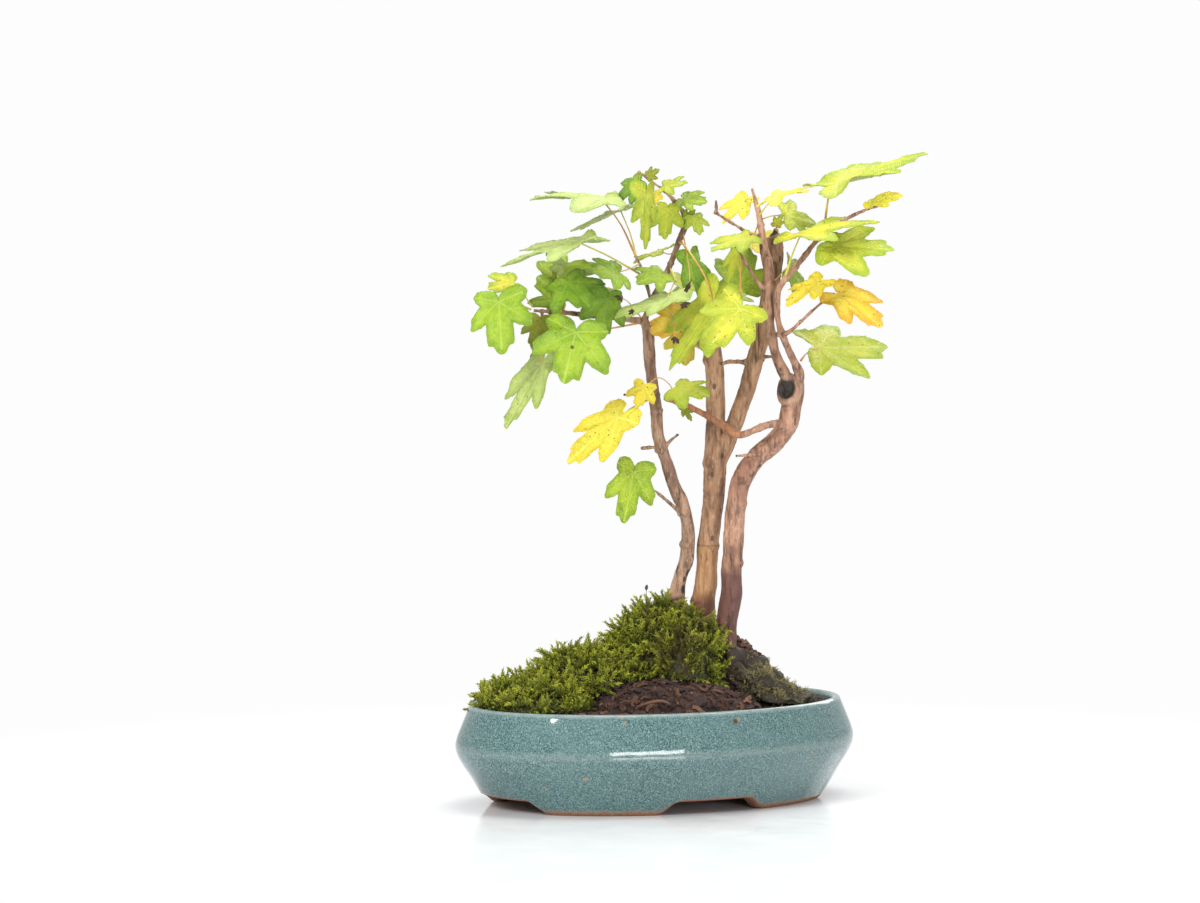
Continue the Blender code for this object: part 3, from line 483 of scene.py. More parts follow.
# How many of the lowest outer rings bend round the gaps, and how many are bare clay
BENT_RINGS = 7
CLAY_RINGS = 3
SHOULDER_EDGE_Z = 30.6
DRAIN_X = 40.0
DRAIN_RADIUS = 7.0

# The wall as rings: half length of the outer oval there, inset from it, height
POT_INSIDE = [(84.0, 8.0, 10.6), (90.0, 6.5, 11.8), (95.5, 5.4, 16.0), (100.5, 5.0, 24.0),
              (105.4, 5.0, 31.0), (103.2, 5.0, 38.0), (100.6, 5.0, 45.0), (99.9, 5.0, 48.4)]
POT_LIP = [(99.8, 4.5, 49.7), (99.7, 3.6, 50.3), (99.7, 2.5, 50.5), (99.7, 1.3, 50.3),
           (99.7, 0.5, 49.7), (99.8, 0.0, 48.5)]
POT_OUTSIDE = [(100.9, 0.0, 46.0), (102.9, 0.0, 41.5), (104.7, 0.0, 37.3), (105.6, 0.0, 35.1),
               (106.25, 0.0, 33.1), (106.6, 0.0, 31.3), (106.7, 0.0, 29.5), (106.4, 0.0, 27.6),
               (105.7, 0.0, 25.6), (104.6, 0.0, 23.4), (102.9, 0.0, 20.6),
               (98.6, 0.0, 14.6), (95.4, 0.0, 9.4), (91.9, 0.0, 4.2), (90.2, 0.0, 1.6),
               (89.4, 0.0, 0.6), (89.0, 0.5, 0.1), (89.0, 1.4, 0.0)]
POT_UNDER = [(89.0, 6.0, 0.0), (89.0, 6.8, 0.3), (89.0, 7.2, 1.2), (89.0, 7.6, 6.4),
             (89.0, 9.0, 7.0), (60.0, 9.0, 7.0)]


def glaze_material():
    """A thick speckled glaze, thin on the lip, with bare clay under the feet."""
    made, n, shader = new_material("speckled_blue_green_glaze", 0.09)
    where = n.place()
    height = n.add("ShaderNodeSeparateXYZ", {"Vector": where}).outputs["Z"]
    patches = n.mottle(where, 26.0)
    grain = n.noise(where, 1450.0, 2.0, 0.6)
    colour = n.mix(n.between(grain, 0.36, 0.64), (0.016, 0.052, 0.058), (0.150, 0.246, 0.236))
    cloudy = n.mix(n.between(n.noise(where, 420.0, 2.0), 0.4, 0.7, 0.0, 0.5), colour,
                   (0.054, 0.116, 0.120))
    tinted = n.mix(n.times(patches, 0.30), cloudy, (0.110, 0.190, 0.182))
    dark = n.specks(where, 950.0, 0.30, 0.30)
    tinted = n.mix(n.times(dark, 0.55), tinted, (0.010, 0.028, 0.034))
    light = n.specks(n.place((1.07, 0.93, 1.0)), 800.0, 0.26, 0.14)
    tinted = n.mix(n.times(light, 0.55), tinted, (0.34, 0.43, 0.40))
    pits = n.specks(where, 120.0, 0.075, 0.16)
    tinted = n.mix(pits, tinted, (0.05, 0.022, 0.015))
    rust = n.specks(n.place((0.9, 1.1, 1.3)), 60.0, 0.09, 0.26)
    rust = n.times(rust, n.between(n.noise(where, 700.0), 0.42, 0.55))
    tinted = n.mix(n.times(rust, 0.7), tinted, (0.30, 0.19, 0.10))
    thin = n.value("thin_glaze")
    frayed = n.times(thin, n.between(n.noise(where, 240.0, 4.0), 0.25, 0.7, 0.4, 1.0))
    tinted = n.mix(frayed, tinted, (0.235, 0.290, 0.275))
    chip = n.add("ShaderNodeVectorMath", operation="DISTANCE")
    n.put(chip.inputs[0], where)
    chip.inputs[1].default_value = tuple(CHIP_AT)
    ragged = n.plus(chip.outputs["Value"], n.times(n.noise(where, 900.0), 0.0012))
    chipped = n.between(ragged, 0.0016, 0.0021, 1.0, 0.0)
    tinted = n.mix(chipped, tinted, (0.075, 0.03, 0.02))
    clay = n.plus(n.value("clay"), n.times(n.noise(where, 260.0, 4.0), 0.45))
    bare = n.between(clay, 0.62, 0.72)
    clay_colour = n.mix(n.noise(where, 700.0, 4.0), (0.10, 0.036, 0.020), (0.33, 0.165, 0.095))
    seam = n.times(n.between(clay, 0.36, 0.62), n.between(height, 0.0, 0.006, 0.7, 0.2))
    tinted = n.mix(seam, tinted, (0.24, 0.18, 0.12))
    n.put(shader.inputs["Base Color"], n.mix(bare, tinted, clay_colour))
    rough = n.between(n.noise(where, 90.0, 4.0), 0.3, 0.75, 0.04, 0.12)
    rough = n.plus(rough, n.times(bare, 0.65))
    n.put(shader.inputs["Roughness"], rough)
    dents = n.plus(n.times(n.noise(where, 70.0, 2.0), 1.0),
                   n.times(n.noise(where, 420.0, 2.0), 0.10))
    dents = n.math("SUBTRACT", dents, n.times(pits, 0.25))
    bump(n, shader, dents, 0.14, 0.0016)
    return made


def foot_lift(x, y):
    """How far the wall's lower edge is raised over the gaps between the feet."""
    if abs(x) < LONG_SIDE:
        share = (GAP_FRONT[0] - abs(x)) / GAP_FRONT[1]
    else:
        share = (GAP_END[0] - abs(y)) / GAP_END[1]
    share = min(max(share, 0.0), 1.0)
    return ARCH_Z * share * share * (3.0 - 2.0 * share)


def make_pot():
    """One disc, its edge extruded ring by ring, and then every ring put in its place."""
    deselect()
    bpy.ops.mesh.primitive_circle_add(vertices=POT_SIDES, radius=1.0, fill_type="NGON")
    pot = bpy.context.object
    pot.name = "glazed_pot"
    rings = POT_INSIDE + POT_LIP + POT_OUTSIDE + POT_UNDER
    edit_all()
    for _ in rings[1:]:
        bpy.ops.mesh.extrude_edges_move(TRANSFORM_OT_translate={"value": (0, 0, -RING_STEP)})
    bpy.ops.mesh.edge_face_add()
    leave_edit()
    shape_pot(pot, rings)
    drain_holes(pot)
    only(pot)
    pot.data.materials.append(glaze_material())
    edit_all()
    bpy.ops.mesh.normals_make_consistent(inside=False)
    leave_edit()
    finished(pot, ["pot"], angle=50.0)


def shape_pot(pot, rings):
    """Puts each extruded ring on its oval, and lifts the lower edge over the gaps."""
    points = places(pot.data)
    level = np.round(-points[:, 2] / RING_STEP).astype(int)
    thin = np.zeros(len(points))
    clay = np.zeros(len(points))
    turn = Matrix.Rotation(POT_TURN, 3, "Z")
    outer_z = [z for _, _, z in reversed(POT_OUTSIDE[:-3])]
    outer_a = [a for a, _, _ in reversed(POT_OUTSIDE[:-3])]
    under_from = len(rings) - len(POT_UNDER)
    for i, (x, y, _) in enumerate(points.copy()):
        half, inset, z = rings[level[i]]
        angle = math.atan2(y, x)
        lift = foot_lift(half * math.cos(angle), half * OVAL * math.sin(angle))
        if level[i] >= under_from - BENT_RINGS:
            top = BLEND_Z if level[i] < under_from else RECESS_Z
            raised = lift + z * (top - lift) / top
            half += np.interp(raised, outer_z, outer_a) - np.interp(z, outer_z, outer_a)
            z = raised
        place = turn @ Vector(((half - inset) * math.cos(angle),
                               (half * OVAL - inset) * math.sin(angle), z))
        wobble = noise.noise(place * 0.035) * 0.35
        place.x *= 1.0 + wobble * 0.004
        place.y *= 1.0 + wobble * 0.006
        points[i] = world(place)
        thin[i] = thin_glaze(level[i], z)
        clay[i] = 1.0 if level[i] >= under_from - CLAY_RINGS else 0.0
        if level[i] == under_from - CLAY_RINGS - 1:
            clay[i] = 0.50
    set_places(pot.data, points)
    add_values(pot.data, "thin_glaze", thin)
    add_values(pot.data, "clay", clay)


def thin_glaze(level, z):
    """The glaze runs thin and pale on the lip and on the shoulder's edge."""
    lip_start = len(POT_INSIDE) - 1
    if lip_start <= level < lip_start + len(POT_LIP):
        return 0.85
    if level >= lip_start + len(POT_LIP) and abs(z - SHOULDER_EDGE_Z) < 1.5:
        return 0.35
    return 0.0


def drain_holes(pot):
    """Cuts the two round holes through the pot's floor."""
    for side in (-1, 1):
        centre = Matrix.Rotation(POT_TURN, 3, "Z") @ Vector((side * DRAIN_X, 0.0, 9.0))
        deselect()
        bpy.ops.mesh.primitive_cylinder_add(vertices=40, radius=DRAIN_RADIUS * MM,
                                            depth=12.0 * MM, location=world(centre))
        drill = bpy.context.object
        cut = pot.modifiers.new("drain", "BOOLEAN")
        cut.operation = "DIFFERENCE"
        cut.object = drill
        only(pot)
        bpy.ops.object.modifier_apply(modifier=cut.name)
        bpy.data.objects.remove(drill, do_unlink=True)


# ---------------------------------------------------------------- drain screens

# Cells across, half the width of a bar, and thickness
SCREEN_CELLS = 11
SCREEN_BAR = 0.42
SCREEN_THICK = 0.7


def screen_material():
    made, n, shader = new_material("black_screen_plastic", 0.5)
    worn = n.noise(n.place(), 300.0, 4.0)
    n.put(shader.inputs["Base Color"], n.mix(worn, (0.012, 0.016, 0.012), (0.05, 0.055, 0.045)))
    bump(n, shader, worn, 0.2, 0.0003)
    return made


def round_off(mesh, centre):
    """Draws a square lattice in to a round one."""
    middle = np.array(centre, np.float32)
    flat = places(mesh) - middle
    reach = np.linalg.norm(flat[:, :2], axis=1)
    square = np.abs(flat[:, :2]).max(axis=1)
    share = np.where(reach > 0, square / np.maximum(reach, 1e-9), 1.0)
    flat[:, :2] *= share[:, None]
    set_places(mesh, flat + middle)


def make_screens():
    """Plastic mesh over each drain hole: a lattice of crossed bars in a round rim."""
    plastic = screen_material()
    for node in ("drain_screen_left", "drain_screen_right"):
        low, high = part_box(node)
        centre = (Vector(low) + Vector(high)) / 2
        radius = (high[0] - low[0]) / 2
        deselect()
        bpy.ops.mesh.primitive_grid_add(x_subdivisions=SCREEN_CELLS, y_subdivisions=SCREEN_CELLS,
                                        size=2 * radius * 0.98, location=centre)
        screen = bpy.context.object
        screen.name = node + "_mesh"
        edit_all()
        bpy.ops.mesh.inset(thickness=SCREEN_BAR * MM, use_individual=True)
        bpy.ops.mesh.delete(type="FACE")
        leave_edit()
        settle(screen)
        round_off(screen.data, centre)
        shell = screen.modifiers.new("thick", "SOLIDIFY")
        shell.thickness = SCREEN_THICK * MM
        shell.offset = 0.0
        apply_all(screen)
        wear(screen, plastic)
        finished(screen, [node], angle=30.0)


# ---------------------------------------------------------------- bark

def bark_material(name, tan, brown, dark, red_below, red, band=None):
    """Bark that is redder and darker towards the ground, with a bare band in one."""
    made, n, shader = new_material(name, 0.7)
    where = n.place()
    along = n.place((1.0, 1.0, 0.22))
    height = n.add("ShaderNodeSeparateXYZ", {"Vector": where}).outputs["Z"]
    grain = n.noise(along, 420.0, 5.0, 0.65)
    broad = n.mottle(n.place((1.0, 1.0, 0.5)), 75.0)
    colour = n.mix(broad, brown, tan)
    colour = n.mix(n.between(grain, 0.42, 0.66, 0.0, 0.72), colour, dark)
    flecks = n.specks(n.place((1.0, 1.0, 0.55)), 620.0, 0.20, 0.30)
    colour = n.mix(n.times(flecks, 0.40), colour, (0.56, 0.43, 0.33))
    knots = n.specks(n.place((1.0, 1.0, 0.6)), 210.0, 0.20, 0.30)
    colour = n.mix(n.times(knots, 0.75), colour, (0.045, 0.024, 0.018))
    low = n.plus(height, n.times(n.noise(where, 60.0), 0.012))
    near = n.between(low, red_below, red_below + 0.006, 0.88, 0.0)
    colour = n.mix(near, colour, n.mix(grain, red, dark))
    if band:
        start, end, bare = band
        within = n.times(n.between(low, start + 0.003, start + 0.009),
                        n.between(height, end - 0.0006, end + 0.0004, 1.0, 0.0))
        colour = n.mix(n.times(within, 0.36), colour, bare)
        line = n.math("ABSOLUTE", n.math("SUBTRACT", height, end))
        colour = n.mix(n.between(line, 0.0002, 0.0009, 0.4, 0.0), colour, dark)
    cracks = n.between(n.noise(n.place((1.0, 1.0, 0.12)), 300.0, 4.0, 0.6), 0.60, 0.68)
    colour = n.mix(n.times(cracks, 0.75), colour, (0.035, 0.02, 0.015))
    warm = n.times(n.value("warm"), n.between(grain, 0.3, 0.65, 0.85, 0.45))
    colour = n.mix(warm, colour, (0.40, 0.155, 0.055))
    cut = n.value("cut")
    cut_colour = n.mix(n.noise(where, 900.0, 4.0), (0.012, 0.010, 0.010), (0.07, 0.055, 0.045))
    colour = n.mix(n.between(cut, 0.42, 0.62), colour, cut_colour)
    lip = n.times(n.between(cut, 0.05, 0.2), n.between(cut, 0.3, 0.42, 1.0, 0.0))
    colour = n.mix(n.times(lip, 0.4), colour, (0.44, 0.30, 0.20))
    n.put(shader.inputs["Base Color"], colour)
    n.put(shader.inputs["Roughness"], n.between(grain, 0.3, 0.7, 0.5, 0.85))
    relief = n.math("SUBTRACT", n.times(grain, 1.0),
                    n.times(cracks, 0.8))
    bump(n, shader, relief, 0.75, 0.0011)
    return made


def bark_relief(obj, depth):
    """Long ridges, rings and small lumps in the bark's surface."""
    mesh = obj.data
    points = places(mesh).copy()
    normals = vertex_normals(mesh)
    push = np.empty(len(points), np.float32)
    for i, p in enumerate(points):
        long_ridge = noise.noise(Vector((p[0] * 420.0, p[1] * 420.0, p[2] * 90.0)))
        lump = noise.noise(Vector((p[0] * 150.0, p[1] * 150.0, p[2] * 110.0)))
        fine = noise.noise(Vector((p[0] * 900.0, p[1] * 900.0, p[2] * 420.0)))
        push[i] = 0.5 * long_ridge + 0.9 * lump + 0.3 * fine
    set_places(mesh, points + normals * (push * depth * MM)[:, None])


# ---------------------------------------------------------------- soil

def surface_samples(obj, count, seed):
    """Places and normals spread evenly by area over a triangulated mesh."""
    rng = np.random.default_rng(seed)
    mesh = obj.data
    mesh.calc_loop_triangles()
    corners = np.empty(len(mesh.loop_triangles) * 3, np.int32)
    mesh.loop_triangles.foreach_get("vertices", corners)
    triangles = places(mesh)[corners.reshape(-1, 3)]
    across = np.cross(triangles[:, 1] - triangles[:, 0], triangles[:, 2] - triangles[:, 0])
    area = np.linalg.norm(across, axis=1)
    picked = rng.choice(len(triangles), count, p=area / area.sum())
    share = rng.random((count, 2))
    share = np.where(share.sum(axis=1, keepdims=True) > 1, 1 - share, share)
    chosen = triangles[picked]
    spots = (chosen[:, 0] + share[:, :1] * (chosen[:, 1] - chosen[:, 0])
             + share[:, 1:] * (chosen[:, 2] - chosen[:, 0]))
    return spots, across[picked] / np.maximum(area[picked], 1e-12)[:, None], rng


def spread(name, pattern, spots, frames, sizes, tints):
    """Copies of one small modelled shape, turned and sized, as a single mesh."""
    shape = places(pattern.data)
    tint_at = np.empty(len(shape), np.float32)
    pattern.data.attributes["tint"].data.foreach_get("value", tint_at)
    faces = [list(p.vertices) for p in pattern.data.polygons]
    lengths = np.array([len(f) for f in faces])
    flat = np.concatenate([np.array(f) for f in faces])
    count = len(spots)
    points = np.einsum("kij,nj->kni", frames, shape) * sizes[:, None, None] + spots[:, None, :]
    made = bpy.data.meshes.new(name)
    made.vertices.add(count * len(shape))
    made.vertices.foreach_set("co", points.astype(np.float32).ravel())
    corners = (flat[None, :] + (np.arange(count) * len(shape))[:, None]).ravel()
    all_lengths = np.tile(lengths, count)
    made.loops.add(len(corners))
    made.loops.foreach_set("vertex_index", corners.astype(np.int32))
    made.polygons.add(len(all_lengths))
    starts = np.concatenate([[0], np.cumsum(all_lengths)[:-1]])
    made.polygons.foreach_set("loop_start", starts.astype(np.int32))
    made.update(calc_edges=True)
    made.validate()
    add_values(made, "tint", np.repeat(tints, len(shape)))
    add_values(made, "reach", np.tile(tint_at, count))
    obj = bpy.data.objects.new(name, made)
    link(obj)
    return obj


def turned_frames(directions, rng):
    """A rotation for each direction, its third axis along it, spun at random."""
    helper = np.where(np.abs(directions[:, 2:3]) > 0.9, [[1.0, 0, 0]], [[0, 0, 1.0]])
    first = unit(np.cross(helper, directions))
    second = np.cross(directions, first)
    spin = rng.random(len(directions)) * 2 * np.pi
    a = first * np.cos(spin)[:, None] + second * np.sin(spin)[:, None]
    b = np.cross(directions, a)
    return np.stack([a, b, directions], axis=2)


# Where the bed lies open to the air, in metres, and how much is strewn there
SOIL_TOP = 0.0455
CRUMBS = 7000
FIBRES = 1500
SOIL_VOXEL = 1.3


def soil_material():
    """Dark crumbs; a high tint makes one brown, and the highest light brown."""
    made, n, shader = new_material("dark_bark_crumb_soil", 0.85)
    where = n.place()
    grain = n.noise(where, 700.0, 4.0, 0.6)
    broad = n.mottle(where, 150.0)
    colour = n.mix(broad, (0.008, 0.0045, 0.004), (0.045, 0.019, 0.013))
    colour = n.mix(n.between(grain, 0.5, 0.72), colour, (0.080, 0.038, 0.025))
    tint = n.value("tint")
    colour = n.mix(n.between(tint, 0.6, 1.0), colour, (0.110, 0.046, 0.027))
    colour = n.mix(n.between(tint, 0.90, 0.96, 0.0, 0.8), colour, (0.20, 0.105, 0.060))
    n.put(shader.inputs["Base Color"], colour)
    n.put(shader.inputs["Roughness"], n.between(grain, 0.3, 0.7, 0.55, 0.95))
    bump(n, shader, grain, 0.7, 0.0008)
    return made


def crumb_pattern():
    """One bark crumb: a small flattened lump with its corners pulled about."""
    deselect()
    bpy.ops.mesh.primitive_ico_sphere_add(subdivisions=1, radius=0.5)
    crumb = bpy.context.object
    crumb.name = "crumb"
    edit_all()
    bpy.ops.transform.resize(value=(1.0, 0.72, 0.5))
    bpy.ops.mesh.vertices_smooth(factor=-0.3)
    leave_edit()
    points = places(crumb.data)
    rng = np.random.default_rng(4)
    set_places(crumb.data, points + rng.normal(0, 0.07, points.shape))
    add_values(crumb.data, "tint", np.ones(len(points)))
    return crumb


def fibre_pattern():
    """One curled root fibre, a thin three-sided tube."""
    fibre = tube("fibre", [(-0.5, 0, 0), (-0.2, 0.16, 0.05), (0.15, 0.05, 0.12), (0.5, 0.2, 0)],
                 [0.009, 0.010, 0.008, 0.005], steps=3, roundness=0)
    points = from_pot(fibre.data)
    set_places(fibre.data, points)
    add_values(fibre.data, "tint", np.ones(len(points)))
    return fibre


def soil_bed():
    """The bed of soil, with relief where it lies open to the air."""
    soil = merged_copy("soil", "soil_bed")
    remesh(soil, SOIL_VOXEL * MM)
    points = places(soil.data).copy()
    normals = vertex_normals(soil.data)
    push = np.array([0.9 * noise.noise(Vector(p) * 160.0) + 0.5 * noise.noise(Vector(p) * 480.0)
                     for p in points])
    open_top = np.clip((points[:, 2] - SOIL_TOP) / 0.002, 0.0, 1.0)
    set_places(soil.data, points + normals * ((push - 0.5) * open_top * MM)[:, None])
    return soil


def open_part(soil):
    """A helper copy of the open top alone, which crumbs and fibres are strewn over."""
    bed = soil.copy()
    bed.data = soil.data.copy()
    link(bed)
    only(bed)
    edit_all()
    bpy.ops.mesh.bisect(plane_co=(0, 0, SOIL_TOP), plane_no=(0, 0, 1), clear_inner=True)
    leave_edit()
    return bed


def strewn_crumbs(bed):
    """The crumbs over the bed, and the pattern they were copied from."""
    spots, normals, rng = surface_samples(bed, CRUMBS, 21)
    lean = unit(normals + rng.normal(0, 0.5, normals.shape))
    crumb = crumb_pattern()
    sizes = (rng.random(len(spots)) ** 3 * 2.2 + 0.6) * MM
    crumbs = spread("soil_crumbs", crumb, spots, turned_frames(lean, rng), sizes,
                    rng.random(len(spots)))
    return crumbs, crumb


def strewn_fibres(bed):
    """The fibres over the bed, and the pattern they were copied from."""
    spots, normals, rng = surface_samples(bed, FIBRES, 22)
    flat = unit(np.cross(normals, rng.normal(0, 1, normals.shape)))
    frames = np.stack([flat, np.cross(normals, flat), normals], axis=2)
    sizes = (rng.random(len(spots)) * 5.0 + 2.5) * MM
    fibre = fibre_pattern()
    fibres = spread("soil_fibres", fibre, spots + normals * 0.5 * MM, frames, sizes,
                    0.55 + 0.42 * rng.random(len(spots)) ** 2)
    return fibres, fibre


def make_soil():
    earth = soil_material()
    soil = soil_bed()
    bed = open_part(soil)
    crumbs, crumb = strewn_crumbs(bed)
    fibres, fibre = strewn_fibres(bed)
    for helper in (bed, crumb, fibre):
        bpy.data.objects.remove(helper, do_unlink=True)
    for obj in (soil, crumbs, fibres):
        wear(obj, earth)
    finished(soil, ["soil"], angle=180.0)
    finished(crumbs, angle=30.0)
    finished(fibres, angle=60.0)


# ---------------------------------------------------------------- moss

MOSS_VOXEL = 1.2
# Fronds grow above this height, in metres
MOSS_FROM = 0.0468


def moss_material(name, gap, leafy, bright, brown):
    """Fronds near-black at their foot, which is painted shade among the fronds as well as the old
    stems' own dark colour, and bright at their tips, with brown tufts among them; on the dry
    cushion the brown is painted shade.
    """
    made, n, shader = new_material(name, 0.7)
    where = n.place()
    reach = n.value("reach")
    tint = n.value("tint")
    # The near-black gap colour at the fronds' foot, and the fine flecks of it below, are painted
    # shade among the fronds, partly the old stems' own dark colour.
    colour = n.mix(n.between(reach, 0.05, 0.55), gap, leafy)
    colour = n.mix(n.times(n.between(reach, 0.35, 1.0), n.between(tint, 0.25, 0.85)),
                   colour, bright)
    patch = n.mottle(where, 95.0)
    # On the dry cushion this brown is near-black painted shade on the side towards the trunks,
    # with dark crust in patches.
    dull = n.times(n.between(patch, 0.1, 0.75), n.value("dull"))
    colour = n.mix(dull, colour, brown)
    fine = n.between(n.noise(where, 1600.0), 0.3, 0.7, 0.0, 0.35)
    colour = n.mix(fine, colour, gap)
    n.put(shader.inputs["Base Color"], colour)
    n.put(shader.inputs["Roughness"], n.between(n.noise(where, 500.0), 0.3, 0.7, 0.55, 0.85))
    let_light_in(shader, 0.12, (0.002, 0.002, 0.0005))
    return made


def frond_pattern(pairs, rise):
    """One moss frond: a thin stem with pairs of pointed leaflets standing off it."""
    deselect()
    bpy.ops.mesh.primitive_cone_add(vertices=3, radius1=0.045, radius2=0.0, depth=1.0,
                                    location=(0, 0, 0.5), end_fill_type="NOTHING")
    frond = bpy.context.object
    frond.name = "frond"
    settle(frond)
    leaflets = []
    for i in range(pairs):
        up = 0.16 + 0.80 * i / pairs
        span = 0.27 * (1.0 - 0.6 * abs(up - 0.35) / 0.65)
        for side in range(2):
            angle = i * 2.3 + side * math.pi
            deselect()
            bpy.ops.mesh.primitive_cone_add(vertices=3, radius1=0.042, radius2=0.0,
                                            depth=span, location=(0, 0, span / 2),
                                            end_fill_type="NOTHING")
            leaflet = bpy.context.object
            settle(leaflet)
            tilt = Matrix.Rotation(angle, 4, "Z") @ Matrix.Rotation(rise, 4, "Y")
            leaflet.data.transform(Matrix.Translation((0, 0, up)) @ tilt)
            leaflets.append(leaflet)
    join(frond, leaflets)
    points = places(frond.data).copy()
    spread_out = np.linalg.norm(points[:, :2], axis=1)
    points[:, 0] += points[:, 2] ** 2 * 0.45
    set_places(frond.data, points)
    add_values(frond.data, "tint", np.clip(points[:, 2] * 0.55 + spread_out * 1.5, 0, 1))
    return frond


def make_moss(node, name, skin, layers, seed, relief, dull_at):
    """A lumpy cushion, with its layers of fronds: how many, their lengths, their shape."""
    base = merged_copy(node, name + "_cushion")
    remesh(base, MOSS_VOXEL * MM)
    points = places(base.data).copy()
    normals = vertex_normals(base.data)
    push = np.array([relief * noise.noise(Vector(p) * 130.0) + 0.7 * noise.noise(Vector(p) * 420.0)
                     for p in points])
    set_places(base.data, points + normals * ((push - relief - 0.4) * MM)[:, None])
    grown = [base]
    for number, (count, short, long, pattern, spare) in enumerate(layers):
        spots, normals, rng = surface_samples(base, count, seed + number)
        tuft = np.array([noise.noise(Vector(p) * 150.0) for p in spots])
        keep = (spots[:, 2] > MOSS_FROM) & (normals[:, 2] > -0.25) & (tuft > spare)
        spots, normals, tuft = spots[keep], normals[keep], tuft[keep]
        lean = unit(normals * 0.75 + np.array([0.0, 0.0, 0.15])
                    + rng.normal(0, 0.5, normals.shape))
        sizes = (short + (long - short) * rng.random(len(spots)) ** 1.5) * MM
        sizes *= np.clip(1.0 + 0.9 * tuft, 0.6, 1.3)
        tints = np.clip(0.58 + 1.3 * tuft + rng.normal(0, 0.25, len(spots)), 0, 1)
        grown.append(spread(f"{name}_fronds_{number + 1}", pattern, spots,
                            turned_frames(lean, rng), sizes, tints))
    for obj in grown:
        at = from_pot(obj.data)
        add_values(obj.data, "dull", dull_at(at))
        wear(obj, skin)
    # The cushion under the fronds takes the near-black gap colour: painted shade in the moss's
    # depth.
    add_values(base.data, "reach", np.full(len(base.data.vertices), 0.12))
    add_values(base.data, "tint", np.full(len(base.data.vertices), 0.3))
    finished(base, [node], angle=180.0)
    for fronds in grown[1:]:
        finished(fronds, angle=60.0)


def dull_left(at):
    """A little browner towards the trunks."""
    return 0.15 + 0.25 * np.clip((at[:, 0] + 30) / 40, 0, 1)


def dull_centre(at):
    """Browner high up and behind on the right, brightest low on the front right."""
    high = np.clip((at[:, 2] - 66) / 26, 0, 1)
    right = np.clip((at[:, 0] - 6) / 20, 0, 1)
    middle = np.exp(-((at[:, 0] - 8) / 13) ** 2 - ((at[:, 2] - 80) / 16) ** 2)
    return np.clip(0.12 + 0.45 * high * right + 0.8 * middle, 0, 1)


def dry_shade_and_crust(at):
    """Painted shade on the side towards the trunks, where the lump overhangs, and crusted moss on
    the outer slope.
    """
    # inner: painted shade on the lump's side towards the trunks.
    inner = np.clip((at[:, 2] * 0.75 + 2 - at[:, 0]) / 9, 0, 1)
    patch = np.array([noise.noise(Vector(p) * 0.16) for p in at])
    return np.clip(0.95 * inner + 0.35 * (patch > 0.25), 0, 1)


def make_all_moss():
    green = moss_material("green_feather_moss", (0.008, 0.009, 0.003), (0.170, 0.205, 0.008),
                          (0.86, 0.88, 0.055), (0.085, 0.055, 0.018))
    # The dry cushion's near-black brown is painted shade towards the trunks, and dark crust in
    # patches.
    dry = moss_material("dry_cushion_moss", (0.014, 0.010, 0.007), (0.300, 0.260, 0.105),
                        (0.78, 0.66, 0.32), (0.030, 0.018, 0.012))
    frond = frond_pattern(8, math.radians(52))
    feather = frond_pattern(12, math.radians(46))
    leafy = [(4600, 2.4, 5.4, frond, -1.0), (4400, 4.2, 10.2, feather, -0.03)]
    make_moss("moss_left", "left_moss", green, leafy, 31, 1.5, dull_left)
    make_moss("moss_centre", "centre_moss", green, leafy, 36, 1.5, dull_centre)
    tuft = frond_pattern(5, math.radians(38))
    make_moss("moss_dry_right", "dry_moss", dry,
              [(5400, 0.9, 2.3, tuft, -1.0), (4200, 1.6, 3.8, tuft, 0.02)], 41, 4.0, dry_shade_and_crust)
    for helper in (frond, feather, tuft):
        bpy.data.objects.remove(helper, do_unlink=True)


def spore_material():
    made, n, shader = new_material("dark_spore_head", 0.4)
    grain = n.noise(n.place(), 900.0)
    n.put(shader.inputs["Base Color"], n.mix(grain, (0.010, 0.012, 0.008), (0.06, 0.05, 0.03)))
    bump(n, shader, grain, 0.3, 0.0003)
    return made


def make_spore_head():
    """A dark spore head on its thin thread, over the middle cushion."""
    dark = spore_material()
    head = tube("spore_head", [(-5.0, 0, 105.3), (-4.9, -0.1, 106.8), (-4.6, -0.3, 108.2)],
                [0.25, 0.85, 0.3], steps=5, roundness=3)
    thread = tube("thread", [(-4.0, 5, 80), (-4.8, 3, 94), (-5.0, 0, 105.5)],
                  [0.16, 0.15, 0.15], steps=6, roundness=1)
    spore = join(head, [thread])
    wear(spore, dark)
    finished(spore)


def make_bark_strip():
    """A curled strip of bark on the soil, tinted like the palest crumbs."""
    strip = tube("curled_bark_strip", [(-9, -44, 51.5), (-4, -46, 53.5), (2, -47, 54.5),
                                       (6, -45, 52.6), (4, -42.5, 51.2), (0, -43, 52.2)],
                 [0.35, 0.75, 0.8, 0.75, 0.6, 0.3], steps=8, roundness=2)
    wear(strip, bpy.data.materials["dark_bark_crumb_soil"])
    add_values(strip.data, "tint", np.full(len(strip.data.vertices), 0.93))
    finished(strip)


# ---------------------------------------------------------------- stems

